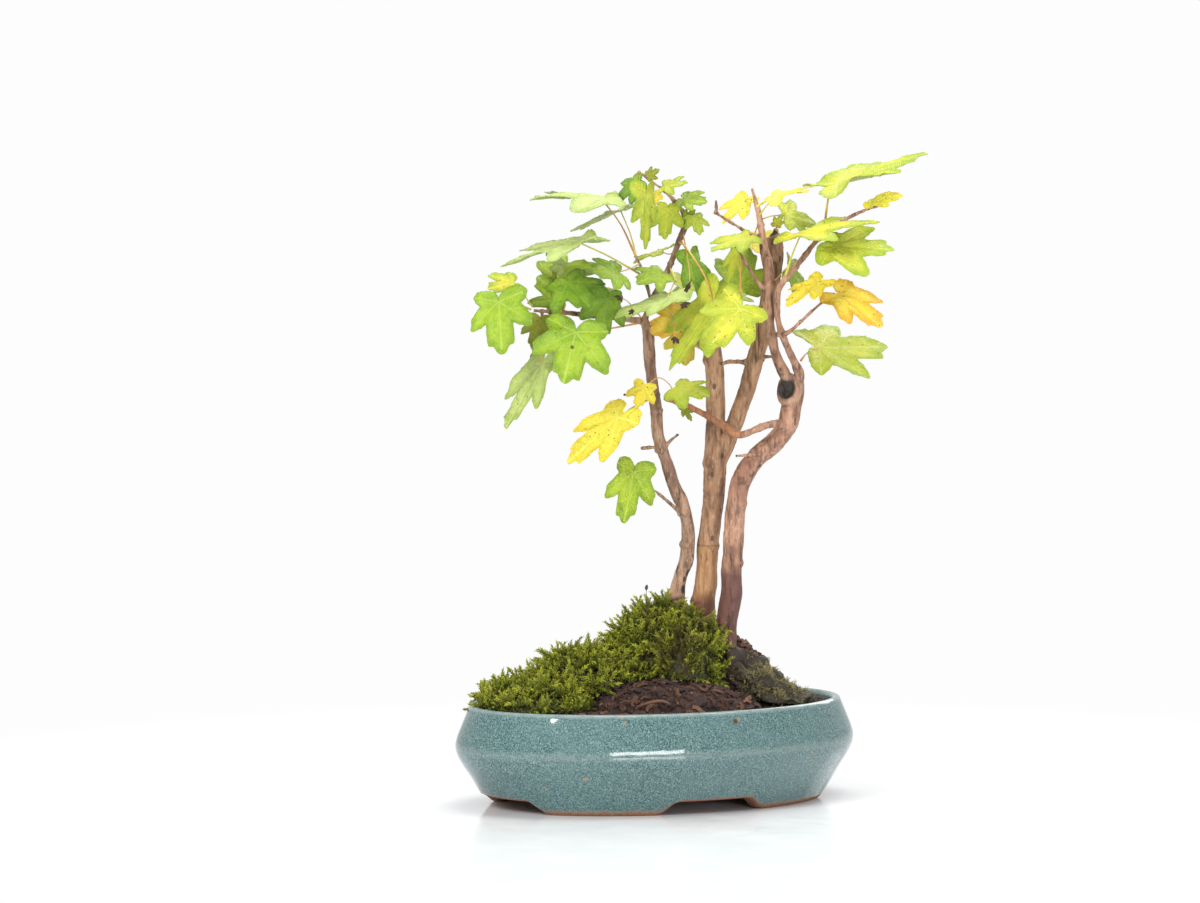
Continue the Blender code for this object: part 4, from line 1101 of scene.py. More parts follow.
STEM_FOOT_Z = 36.0
LEFT_STEM = [(13, 24, STEM_FOOT_Z), (12, 24, 70), (10.8, 24, 100), (12.5, 23, 110),
             (15.8, 22, 120), (16.2, 21, 133), (14.3, 20, 145), (8.8, 18, 158),
             (4.3, 16, 171), (1.3, 14, 181.5), (0.3, 13, 193), (-1.3, 12, 206),
             (-3.3, 11, 222), (-4.0, 11, 235), (-6.4, 10, 242)]
LEFT_STEM_R = [4.6, 4.3, 3.9, 3.7, 3.5, 3.4, 3.3, 3.2, 3.1, 3.1, 3.0, 3.0, 2.9, 2.8, 2.2]
LEFT_BRANCH = [(-5.5, 10, 240), (-13, 8, 241), (-20, 6, 242), (-34, 4, 243),
               (-46.8, 2, 244.7), (-61.3, 0, 245.7)]
LEFT_BRANCH_R = [1.7, 1.6, 1.5, 1.3, 1.5, 0.9]
LEFT_TOP = [(-6.2, 10, 240), (-1.8, 12, 251), (3.8, 14, 261), (7.3, 15, 269),
            (10.8, 16, 278), (14.8, 17, 288.5), (14.0, 16, 294), (9.3, 13, 300),
            (4.8, 11, 305), (-0.8, 9, 309), (-7.3, 8, 314)]
LEFT_TOP_R = [1.9, 1.7, 1.6, 1.5, 1.5, 1.7, 1.6, 1.1, 0.9, 0.8, 0.6]
LEFT_TWIGS = [
    ([(-5.0, 11, 239), (-3.3, 7, 252), (-7.8, 4, 267), (-10.3, 2, 272.5)], [1.2, 0.9, 0.8, 0.7]),
    ([(-57.0, 0, 245.4), (-57.2, -1, 241), (-56.3, -1, 237.5)], [1.0, 0.8, 0.6]),
    ([(14.5, 20, 141), (6.0, 15, 149), (-2.8, 9, 156.7)], [1.3, 0.9, 0.7]),
    ([(-1.0, 13, 201), (-8.0, 10, 202.5), (-15.8, 8, 203.2)], [1.0, 0.7, 0.5]),
    ([(3.5, 15, 176), (-2.0, 12, 176.5), (-6.8, 10, 176.2)], [1.2, 0.8, 0.5]),
    ([(3.0, 16, 173), (6.5, 14, 179), (10.8, 13, 182.7)], [1.2, 0.8, 0.5]),
]

MIDDLE_STEM = [(23, 30, STEM_FOOT_Z), (23.5, 29, 70), (24.3, 28, 98), (25.8, 27, 110),
               (26.3, 26, 126), (28.3, 25, 142), (29.3, 24, 156), (30.2, 23, 170),
               (30.0, 23, 182), (30.3, 23, 197), (29.8, 23, 212), (28.5, 23, 224),
               (27.8, 23, 231)]
MIDDLE_STEM_R = [6.6, 6.4, 6.0, 5.6, 5.4, 5.4, 5.6, 5.9, 5.0, 4.8, 4.6, 4.6, 4.2]
MIDDLE_LIMBS = [
    ([(30.5, 23, 165), (35.3, 22, 177), (41.3, 21, 192), (46.3, 20, 207), (50.3, 19, 221.5),
      (53.6, 18, 233), (56.2, 17, 246), (58.0, 16, 259), (59.2, 15, 271), (59.6, 15, 282)],
     [4.4, 4.4, 4.3, 4.3, 4.3, 4.4, 4.6, 4.7, 4.8, 4.5]),
    ([(59.6, 15, 280), (60.3, 15, 286.5)], [1.8, 1.3]),
    ([(27.8, 23, 228), (27.5, 24, 240), (27.2, 25, 253)], [3.0, 2.4, 2.0]),
    ([(28.5, 23, 222), (22.5, 20, 228), (19.3, 19, 233)], [2.0, 1.6, 1.3]),
    ([(46.0, 20, 219), (38.0, 19, 219.5), (33.5, 18, 218.5)], [1.5, 1.2, 0.8]),
    ([(50.0, 19, 221), (55.5, 15, 222), (59.0, 13, 222)], [1.4, 1.0, 0.8]),
]

RIGHT_STEM = [(35.5, 14, STEM_FOOT_Z), (35.5, 14, 65), (35.3, 14, 84), (38.0, 14, 103),
              (38.3, 14, 118), (39.3, 14, 133), (40.4, 14, 148), (43.5, 13, 161),
              (50.3, 12, 171), (59.8, 10, 179.5), (65.8, 9, 188), (68.0, 8, 197),
              (69.6, 7, 206), (70.8, 6, 212)]
RIGHT_STEM_R = [6.4, 6.2, 5.6, 5.4, 5.2, 5.2, 5.1, 5.1, 5.1, 5.2, 5.2, 5.1, 4.6, 3.4]
RIGHT_LIMBS = [
    ([(68.8, 7, 203), (65.6, 4, 211), (60.5, 1, 222), (57.5, -1, 233.5), (56.6, -1, 246),
      (56.6, 0, 258), (55.9, 2, 267.5), (53.8, 4, 277), (52.3, 6, 288.5), (50.4, 7, 298),
      (47.8, 8, 306.7)],
     [3.4, 3.0, 2.6, 2.4, 2.3, 2.3, 2.6, 2.0, 1.7, 1.3, 0.8]),
    ([(70.2, 6, 208), (71.5, 2, 214.5), (65.5, -5, 227), (61.6, -8, 237), (60.2, -9, 246),
      (60.4, -9, 254.5), (63.3, -8, 260.5), (68.8, -7, 267), (73.0, -6, 272), (80.8, -4, 281.7),
      (90.5, -2, 289), (101.3, 0, 294.7), (111.8, 2, 298.2)],
     [3.2, 2.4, 1.9, 1.7, 1.6, 1.7, 1.7, 1.6, 1.5, 1.3, 1.1, 1.0, 0.7]),
    ([(64.0, 7, 187.5), (60.0, 1, 189), (53.3, -1, 187.7), (45.3, 2, 184.2), (40.3, 5, 183.5),
      (34.3, 10, 187.2), (24.3, 12, 193), (14.3, 10, 198), (5.6, 8.5, 201.2)],
     [2.4, 2.0, 1.9, 1.8, 1.9, 1.7, 1.6, 1.6, 1.5]),
    ([(55.3, 9.5, 174.5), (49.3, 4, 173.4), (44.5, 3, 173.0), (40.6, 3, 172.7)],
     [1.6, 1.1, 0.9, 0.7]),
    ([(56.2, 1, 257), (52.0, -3, 258), (45.4, -5, 268), (38.8, -6, 279)], [1.4, 1.1, 1.0, 0.8]),
    ([(52.5, 5, 282), (46.8, 2, 284), (37.5, 0, 289.5), (28.8, -2, 295)], [1.3, 1.0, 0.9, 0.7]),
    ([(30.2, -2, 294.4), (29.6, -2, 300.7)], [0.7, 0.5]),
    ([(62.6, -7.5, 233.5), (67.0, -9, 236), (71.8, -10, 240.5), (80.8, -10, 248.7),
      (83.5, -10, 250.5)], [1.2, 1.0, 0.9, 0.8, 0.6]),
]
SCAR_CENTRE = (66.0, 4.2, 206.0)
SCAR_AWAY = (-0.55, -0.8, 0.2)
# Depth of the relief in the bark, and the radius from which a bud counts as wide
BARK_DEPTH = 0.55
WIDE_BUD = 3.0
# Size of the cells in which a trunk and its limbs are fused
STEM_VOXELS = {"left": 0.43, "middle": 0.48, "right": 0.48}

# Buds and rings left by old leaf joints: place, radius
LEFT_BUDS = [((10.8, 24, 101), 4.9), ((16.0, 21.5, 127), 4.2), ((14.5, 20, 143), 4.1),
             ((3.0, 15.2, 175), 3.9), ((0.3, 13, 195), 3.6), ((-1.5, 12, 203), 3.5),
             ((-4.6, 11, 237), 3.4), ((-13, 8, 241), 1.9), ((-46.8, 2, 244.7), 2.3),
             ((-57.0, 0, 245.4), 1.9), ((7.3, 15, 269), 2.0), ((14.8, 17, 288.5), 2.3),
             ((9.3, 13, 300), 1.7), ((4.8, 11, 305), 1.5), ((-1.8, 12, 251), 2.0),
             ((-2.8, 9, 156.7), 1.1), ((-15.8, 8, 203.2), 0.9), ((10.8, 13, 182.7), 0.9),
             ((-6.8, 10, 176.2), 0.9), ((-56.3, -1, 237.5), 0.9), ((-10.3, 2, 272.5), 1.1)]
MIDDLE_BUDS = [((24.3, 28, 98), 6.6), ((26.3, 26, 126), 6.1), ((29.3, 24, 154), 6.3),
               ((30.3, 23, 168), 6.7), ((30.3, 23, 197), 5.3), ((28.9, 23, 220), 5.2),
               ((46.3, 20, 219), 3.2), ((50.3, 19, 221.5), 4.9), ((56.2, 17, 246), 5.1),
               ((59.2, 15, 271), 5.4), ((60.0, 15, 282), 3.6), ((27.2, 25, 252), 2.5),
               ((19.3, 19, 232.5), 1.7), ((59.0, 13, 222), 1.3), ((33.5, 18, 218.5), 1.2)]
RIGHT_BUDS = [((35.3, 14, 88), 6.2), ((38.3, 14, 118), 5.9), ((40.4, 14, 148), 5.7),
              ((43.0, 13, 160), 5.8), ((56.0, 11, 176), 5.9), ((66.0, 9, 189), 5.8),
              ((70.0, 6.5, 209), 4.8), ((57.5, -1, 233.5), 2.9), ((56.6, 0, 257), 3.1),
              ((52.3, 6, 288.5), 2.2), ((61.6, -8, 234), 2.4), ((68.8, -7, 267), 2.2),
              ((80.8, -4, 281.7), 1.9), ((60.0, 1, 189), 2.5), ((45.3, 2, 184.2), 2.4),
              ((24.3, 12, 193), 2.1), ((5.6, 8.5, 201.2), 1.8), ((40.6, 3, 172.7), 1.0),
              ((71.8, -10, 240.5), 1.4), ((30.2, -2, 294.4), 1.1), ((38.8, -6, 279), 1.1)]


def bud(place, radius):
    """A swelling; the wide ones stand out of a trunk on one side only."""
    if radius > WIDE_BUD:
        turn = place[2] * 1.7
        place = Vector(place) + Vector((math.cos(turn), -abs(math.sin(turn)), 0.0)) * 0.9
        radius *= 0.90
    deselect()
    bpy.ops.mesh.primitive_ico_sphere_add(subdivisions=2, radius=radius * MM,
                                          location=world(place))
    made = bpy.context.object
    made.scale = (1.0, 1.0, 0.75)
    settle(made)
    return made


def make_stem(node, name, skin, limbs, buds, voxel, cuts, extra=()):
    """A trunk and its limbs fused into one grown piece, with relief in its bark.

    Cuts are old wounds: place, radius. The right trunk is warmer at its cross branch.
    """
    pieces = [tube(f"{name}_{i}", points, radii, steps=6)
              for i, (points, radii) in enumerate(limbs)]
    pieces += [bud(place, radius) for place, radius in buds]
    pieces += list(extra)
    stem = join(pieces[0], pieces[1:])
    stem.name = name
    remesh(stem, voxel * MM)
    smooth(stem, 3, 0.5)
    bark_relief(stem, BARK_DEPTH)
    points = from_pot(stem.data)
    cut = np.zeros(len(points))
    for centre, radius in cuts:
        away = np.linalg.norm(points - np.array(centre), axis=1) / radius
        cut = np.maximum(cut, np.clip(1.35 - away, 0.0, 1.0))
    add_values(stem.data, "cut", cut)
    inward = np.clip((46.0 - points[:, 0]) / 5.0, 0, 1) * np.clip((points[:, 2] - 172) / 5, 0, 1)
    low_only = np.clip((212.0 - points[:, 2]) / 4.0, 0, 1)
    add_values(stem.data, "warm", inward * low_only * (node == "stem_right"))
    wear(stem, skin)
    finished(stem, [node], angle=180.0)


def scar_lip():
    """The callus round an old pruning cut, an oval lip."""
    deselect()
    bpy.ops.mesh.primitive_torus_add(major_segments=32, minor_segments=12,
                                     major_radius=4.6 * MM, minor_radius=1.7 * MM)
    lip = bpy.context.object
    lip.scale = (1.0, 1.35, 1.0)
    settle(lip)
    facing = Vector(SCAR_AWAY).to_track_quat("Z", "Y").to_matrix().to_4x4()
    lip.data.transform(Matrix.Translation(world(SCAR_CENTRE)) @ facing)
    return lip


def make_stems():
    grey = bark_material("grey_brown_bark", (0.43, 0.265, 0.170), (0.225, 0.120, 0.076),
                         (0.050, 0.030, 0.022), 0.098, (0.075, 0.036, 0.028))
    tan = bark_material("tan_bark", (0.47, 0.270, 0.148), (0.25, 0.132, 0.072),
                        (0.085, 0.046, 0.030), 0.103, (0.20, 0.062, 0.035),
                        (0.098, 0.1262, (0.50, 0.255, 0.085)))
    red = bark_material("reddish_tan_bark", (0.50, 0.285, 0.180), (0.29, 0.145, 0.090),
                        (0.085, 0.042, 0.034), 0.118, (0.125, 0.042, 0.033))
    make_stem("stem_left", "left_stem", grey,
              [(LEFT_STEM, LEFT_STEM_R), (LEFT_BRANCH, LEFT_BRANCH_R),
               (LEFT_TOP, LEFT_TOP_R)] + LEFT_TWIGS, LEFT_BUDS, STEM_VOXELS["left"],
              [((15.6, 20.5, 104), 3.4), ((18.2, 19.5, 112), 3.2), ((20.2, 19.0, 121), 2.4),
               ((-16.4, 8, 203.2), 1.2), ((11.2, 13, 183.2), 1.1), ((15.4, 17.0, 290.5), 1.3)])
    make_stem("stem_middle", "middle_stem", tan,
              [(MIDDLE_STEM, MIDDLE_STEM_R)] + MIDDLE_LIMBS, MIDDLE_BUDS,
              STEM_VOXELS["middle"],
              [((27.2, 25, 253.5), 2.6), ((60.0, 15, 287.5), 1.7), ((59.0, 14, 283.5), 2.8),
               ((33.2, 18, 218.5), 1.2), ((19.0, 19, 233.4), 1.4)])
    centre = Vector(SCAR_CENTRE) + Vector(SCAR_AWAY).normalized() * 0.6
    make_stem("stem_right", "right_stem", red,
              [(RIGHT_STEM, RIGHT_STEM_R)] + RIGHT_LIMBS, RIGHT_BUDS,
              STEM_VOXELS["right"],
              [(tuple(centre), 6.4), ((40.2, 3, 172.7), 1.0), ((29.6, -2, 301.0), 0.9)],
              [scar_lip()])


# ---------------------------------------------------------------- leaves

# Half of the five-lobed blade with its blunt teeth: degrees from the tip's direction,
# and reach from the stalk's joint as a share of the blade's length
OUTLINE = [(0, 1.0), (4, 0.985), (7, 0.93), (10, 0.875), (13, 0.87), (17, 0.885), (20, 0.80),
           (24, 0.68), (28, 0.585), (32, 0.53), (35, 0.575), (38, 0.67), (41, 0.695),
           (44, 0.78), (48, 0.855), (52, 0.87), (55, 0.825), (58, 0.79), (62, 0.785),
           (65, 0.73), (69, 0.63), (75, 0.53), (81, 0.455), (86, 0.475), (92, 0.535),
           (98, 0.555), (104, 0.59), (110, 0.565), (116, 0.55), (122, 0.50), (132, 0.40),
           (145, 0.30), (160, 0.18), (172, 0.10), (180, 0.06)]
# The five main veins: degrees, and how far along they reach
VEINS = [(0, 0.97), (52, 0.83), (-52, 0.83), (105, 0.55), (-105, 0.55)]
SPOKES = 144
LEAF_RINGS = 16
BLADE_THICK = 0.30
# How far the blade leaves its plane, as shares of its length
WAVE = 0.030
FINE_WAVE = 0.005
CUP = 0.035
CRUMPLE = 0.020
PILLOW = 0.024
RIB = 0.020
# Half a main vein's width where it starts, as a share of the blade's length
VEIN_WIDTH = 0.019
# How much light a blade takes in, and how far its colours spread there, in metres
LEAF_GLOW = (0.16, (0.0012, 0.0014, 0.0004))


def leaf_blank():
    """A flat disc of rings, extruded inward, which every blade is shaped from."""
    deselect()
    bpy.ops.mesh.primitive_circle_add(vertices=SPOKES, radius=1.0, fill_type="NOTHING")
    blank = bpy.context.object
    blank.name = "leaf_blank"
    edit_all()
    for ring in range(1, LEAF_RINGS):
        size = (LEAF_RINGS - ring) / (LEAF_RINGS - ring + 1.0)
        bpy.ops.mesh.extrude_edges_move()
        bpy.ops.transform.resize(value=(size, size, size))
    bpy.ops.mesh.edge_face_add()
    bpy.ops.mesh.poke()
    leave_edit()
    return blank


def outline_reach(degrees, phase):
    """Reach of the margin at an angle, with its fine uneven teeth."""
    turned = np.abs((degrees + 180.0) % 360.0 - 180.0)
    base = np.interp(turned, [d for d, _ in OUTLINE], [r for _, r in OUTLINE])
    side = np.sign(degrees)
    swing = np.sin(np.radians(degrees * 3.0 + phase * 360.0))
    uneven = (0.055 * swing + 0.045 * np.sin(np.radians(degrees + phase * 900.0)))
    uneven = uneven * (base > 0.2)
    nick = 0.006 * np.sin(np.radians(turned * 21.0 + side * 40.0 + phase * 200.0))
    return base * (1.0 + uneven) + nick * np.clip((base - 0.2) * 3.0, 0, 1)


def vein_field(degrees, reach):
    """Nearness to a main vein, and the pillow height of the blade between its veins."""
    x = reach * np.sin(np.radians(degrees))
    y = reach * np.cos(np.radians(degrees))
    near = np.zeros_like(x)
    closest = np.full_like(x, 9.0)
    run = np.zeros_like(x)
    for angle, length in VEINS:
        a = math.radians(angle)
        along = x * math.sin(a) + y * math.cos(a)
        away = np.abs(x * math.cos(a) - y * math.sin(a))
        beyond = np.clip(along - length, 0.0, None)
        behind = np.clip(-along, 0.0, None)
        away = np.sqrt(away ** 2 + beyond ** 2 + behind ** 2)
        better = away < closest
        run = np.where(better, along, run)
        closest = np.minimum(closest, away)
        width = VEIN_WIDTH * (1.0 - 0.65 * np.clip(along / length, 0, 1))
        near = np.maximum(near, np.clip(1.0 - away / np.maximum(width, 0.004), 0, 1))
    ribs = np.abs(((run * 9.0 - closest * 5.5) % 1.0) - 0.5) * 2.0
    pillow = np.clip(closest / 0.13, 0, 1)
    side = np.clip(1.0 - ribs * 5.0, 0, 1) * np.clip((0.30 - closest) / 0.05, 0, 1)
    lift = PILLOW * pillow + RIB * pillow * (np.clip(ribs * 2.2, 0, 1) - 0.5)
    return near, side * 0.6, lift


def blade_frame(joint, tip, facing):
    """The blade's own axes: across, ahead, and off its upper face."""
    ahead = Vector(tip) - Vector(joint)
    length = ahead.length
    ahead.normalize()
    off = Vector(facing)
    off = (off - off.dot(ahead) * ahead).normalized()
    return length, ahead.cross(off), ahead, off


def shape_blade(blade, joint, tip, facing, width, curl, seed):
    """Bends and quilts a flat disc into the blade, and notes where its veins are."""
    phase = np.random.default_rng(seed).random(3)
    flat = places(blade.data)
    ring = np.linalg.norm(flat[:, :2], axis=1)
    degrees = np.degrees(np.arctan2(flat[:, 0], flat[:, 1]))
    reach = ring * outline_reach(degrees, phase[0])
    length, across, ahead, off = blade_frame(joint, tip, facing)
    near, side, lift = vein_field(degrees, reach)
    u = reach * np.sin(np.radians(degrees)) * width
    v = reach * np.cos(np.radians(degrees))
    v = v + 0.02 * u
    bend = -curl * (0.6 * v * v + 1.2 * u * u)
    wave = WAVE * np.sin(np.radians(degrees * 5.0 + phase[1] * 360.0)) * ring ** 3
    wave += FINE_WAVE * np.sin(np.radians(degrees * 13.0 + phase[0] * 360.0)) * ring ** 4
    cup = CUP * np.sin(np.radians(degrees * 2.0 + phase[2] * 360.0)) * ring ** 2
    crumple = np.array([noise.noise(Vector((7.0 * a, 7.0 * b, 9.0 * phase[0])))
                        for a, b in zip(u, v)])
    wave += CRUMPLE * crumple * np.clip(ring * 1.5, 0, 1)
    rise = bend + lift + wave + cup
    axes = np.array([across, ahead, off])
    points = np.array(joint) + length * (np.stack([u, v, rise], axis=1) @ axes)
    set_places(blade.data, np.array(POT_AT) + points * MM)
    add_values(blade.data, "vein", np.clip(near + side, 0, 1))
    add_values(blade.data, "edge", ring)
    lay_out(blade.data, u / width, v)


def lay_out(mesh, u, v):
    """A flat map of the blade, for the net of its smallest veins."""
    layer = mesh.uv_layers.new(name="blade")
    corners = np.empty(len(mesh.loops), np.int32)
    mesh.loops.foreach_get("vertex_index", corners)
    uv = np.stack([u, v], axis=1)[corners] * 0.5 + 0.5
    layer.data.foreach_set("uv", uv.astype(np.float32).ravel())


def make_stalk(name, joint, tip, facing, stalk, skin):
    """The stalk: from just inside the blade's foot to the twig, wider at both ends."""
    length, _, ahead, off = blade_frame(joint, tip, facing)
    start = Vector(joint) + length * 0.02 * Vector(ahead) - Vector(off) * 0.2
    route = [tuple(start)] + list(stalk)
    thick = 0.26 + 0.0055 * length
    widths = [thick * 0.8] + [thick * 0.85] * (len(stalk) - 1) + [thick * 1.35]
    stem = tube(name, route, widths, steps=6, roundness=2)
    wear(stem, skin)
    add_values(stem.data, "edge", np.zeros(len(stem.data.vertices)))
    return stem


def make_leaf(name, joint, tip, facing, width, curl, skins, stalk, blank, seed,
              nodes):
    """A blade bent and quilted along its veins, with its stalk."""
    upper, lower, stalk_skin = skins
    blade = blank.copy()
    blade.data = blank.data.copy()
    blade.name = name + "_blade"
    link(blade)
    shape_blade(blade, joint, tip, facing, width, curl, seed)
    wear(blade, upper)
    blade.data.materials.append(lower)
    shell = blade.modifiers.new("thickness", "SOLIDIFY")
    shell.thickness = BLADE_THICK * MM
    shell.offset = -1.0
    shell.material_offset = 1
    shell.material_offset_rim = 0
    fix_facing(blade, blade_frame(joint, tip, facing)[3])
    apply_all(blade)
    leaf = join(blade, [make_stalk(name + "_stalk", joint, tip, facing, stalk, stalk_skin)])
    leaf.name = name
    finished(leaf, nodes, angle=55.0)


def fix_facing(blade, off):
    """The disc's faces are turned over where its upper face would point down."""
    if blade.data.polygons[0].normal.dot(Vector(off)) < 0:
        only(blade)
        edit_all()
        bpy.ops.mesh.flip_normals()
        leave_edit()


def leaf_top(tone, blade, vein, rim, blush, dots, edge_from, gloss, spots=None):
    """The upper face: mottled between its veins, paler along them, specked."""
    made, n, shader = new_material(f"leaf_{tone}_upper", gloss)
    where = n.place()
    across = n.add("ShaderNodeUVMap", uv_map="blade").outputs["UV"]
    patches = n.mottle(where, 62.0)
    colour = n.mix(patches, blade, blush)
    fine = n.noise(where, 1100.0, 3.0)
    colour = n.mix(n.between(fine, 0.35, 0.7, 0.0, 0.22), colour, vein)
    edge = n.value("edge")
    edge = n.plus(edge, n.times(n.noise(where, 130.0), 0.35))
    colour = n.mix(n.between(edge, edge_from + 0.17, 1.17, 0.0, 0.75), colour, rim)
    lines = n.value("vein")
    colour = n.mix(n.between(lines, 0.10, 0.80, 0.0, 0.58), colour, vein)
    net = n.add("ShaderNodeTexVoronoi", {"Vector": across, "Scale": 60.0},
                feature="DISTANCE_TO_EDGE")
    mesh_lines = n.between(net.outputs["Distance"], 0.0, 0.10, 0.16, 0.0)
    colour = n.mix(mesh_lines, colour, vein)
    dots = n.specks(where, 420.0, 0.17, dots)
    colour = n.mix(n.times(dots, 0.8), colour, (0.19, 0.085, 0.012))
    scorch = n.between(n.noise(n.place((1.1, 0.9, 1.0)), 210.0, 4.0), 0.64, 0.72, 0.0, 0.55)
    colour = n.mix(scorch, colour, tuple(0.45 * c for c in blush))
    if spots:
        place, radius, ink = spots
        away = n.add("ShaderNodeVectorMath", operation="DISTANCE")
        n.put(away.inputs[0], where)
        away.inputs[1].default_value = tuple(world(place))
        ragged = n.plus(away.outputs["Value"],
                        n.times(n.noise(where, 300.0), radius * MM * 0.7))
        colour = n.mix(n.between(ragged, radius * MM * 0.95, radius * MM * 1.45, 0.93, 0.0),
                       colour, ink)
    n.put(shader.inputs["Base Color"], colour)
    n.put(shader.inputs["Roughness"],
          n.between(n.noise(where, 260.0), 0.3, 0.7, gloss - 0.10, gloss + 0.14))
    let_light_in(shader, *LEAF_GLOW)
    shader.inputs["Specular IOR Level"].default_value = 0.42
    rough = n.plus(n.times(n.noise(where, 420.0, 4.0), 1.0),
                   n.times(net.outputs["Distance"], 0.8))
    rough = n.plus(rough, n.times(lines, 0.30))
    bump(n, shader, rough, 0.75, 0.0009)
    return made


def leaf_under(tone, blade, vein):
    """The lower face: paler and duller, with raised pale veins."""
    made, n, shader = new_material(f"leaf_{tone}_lower", 0.62)
    where = n.place()
    patches = n.mottle(where, 110.0)
    dull = tuple(0.62 * c + 0.38 * g for c, g in zip(blade, (0.42, 0.46, 0.28)))
    deep = tuple(0.82 * c for c in dull)
    colour = n.mix(patches, deep, dull)
    colour = n.mix(n.between(n.value("vein"), 0.1, 0.7, 0.0, 0.7), colour, vein)
    n.put(shader.inputs["Base Color"], colour)
    n.put(shader.inputs["Roughness"], n.between(n.noise(where, 300.0), 0.3, 0.7, 0.5, 0.7))
    let_light_in(shader, *LEAF_GLOW)
    rough = n.plus(n.times(n.noise(where, 900.0), 0.5), n.value("vein"))
    bump(n, shader, rough, 0.35, 0.0004)
    return made


def stalk_material(name, low, high):
    made, n, shader = new_material(name, 0.42)
    where = n.place()
    tint = n.mottle(where, 130.0)
    colour = n.mix(tint, low, high)
    flecks = n.specks(where, 900.0, 0.22, 0.2)
    colour = n.mix(n.times(flecks, 0.5), colour, (0.30, 0.10, 0.04))
    n.put(shader.inputs["Base Color"], colour)
    n.put(shader.inputs["Roughness"], n.between(n.noise(where, 500.0), 0.3, 0.7, 0.35, 0.55))
    let_light_in(shader, 0.15, (0.0008, 0.0006, 0.0002))
    bump(n, shader, n.noise(n.place((1.0, 1.0, 0.3)), 1500.0), 0.25, 0.0002)
    return made


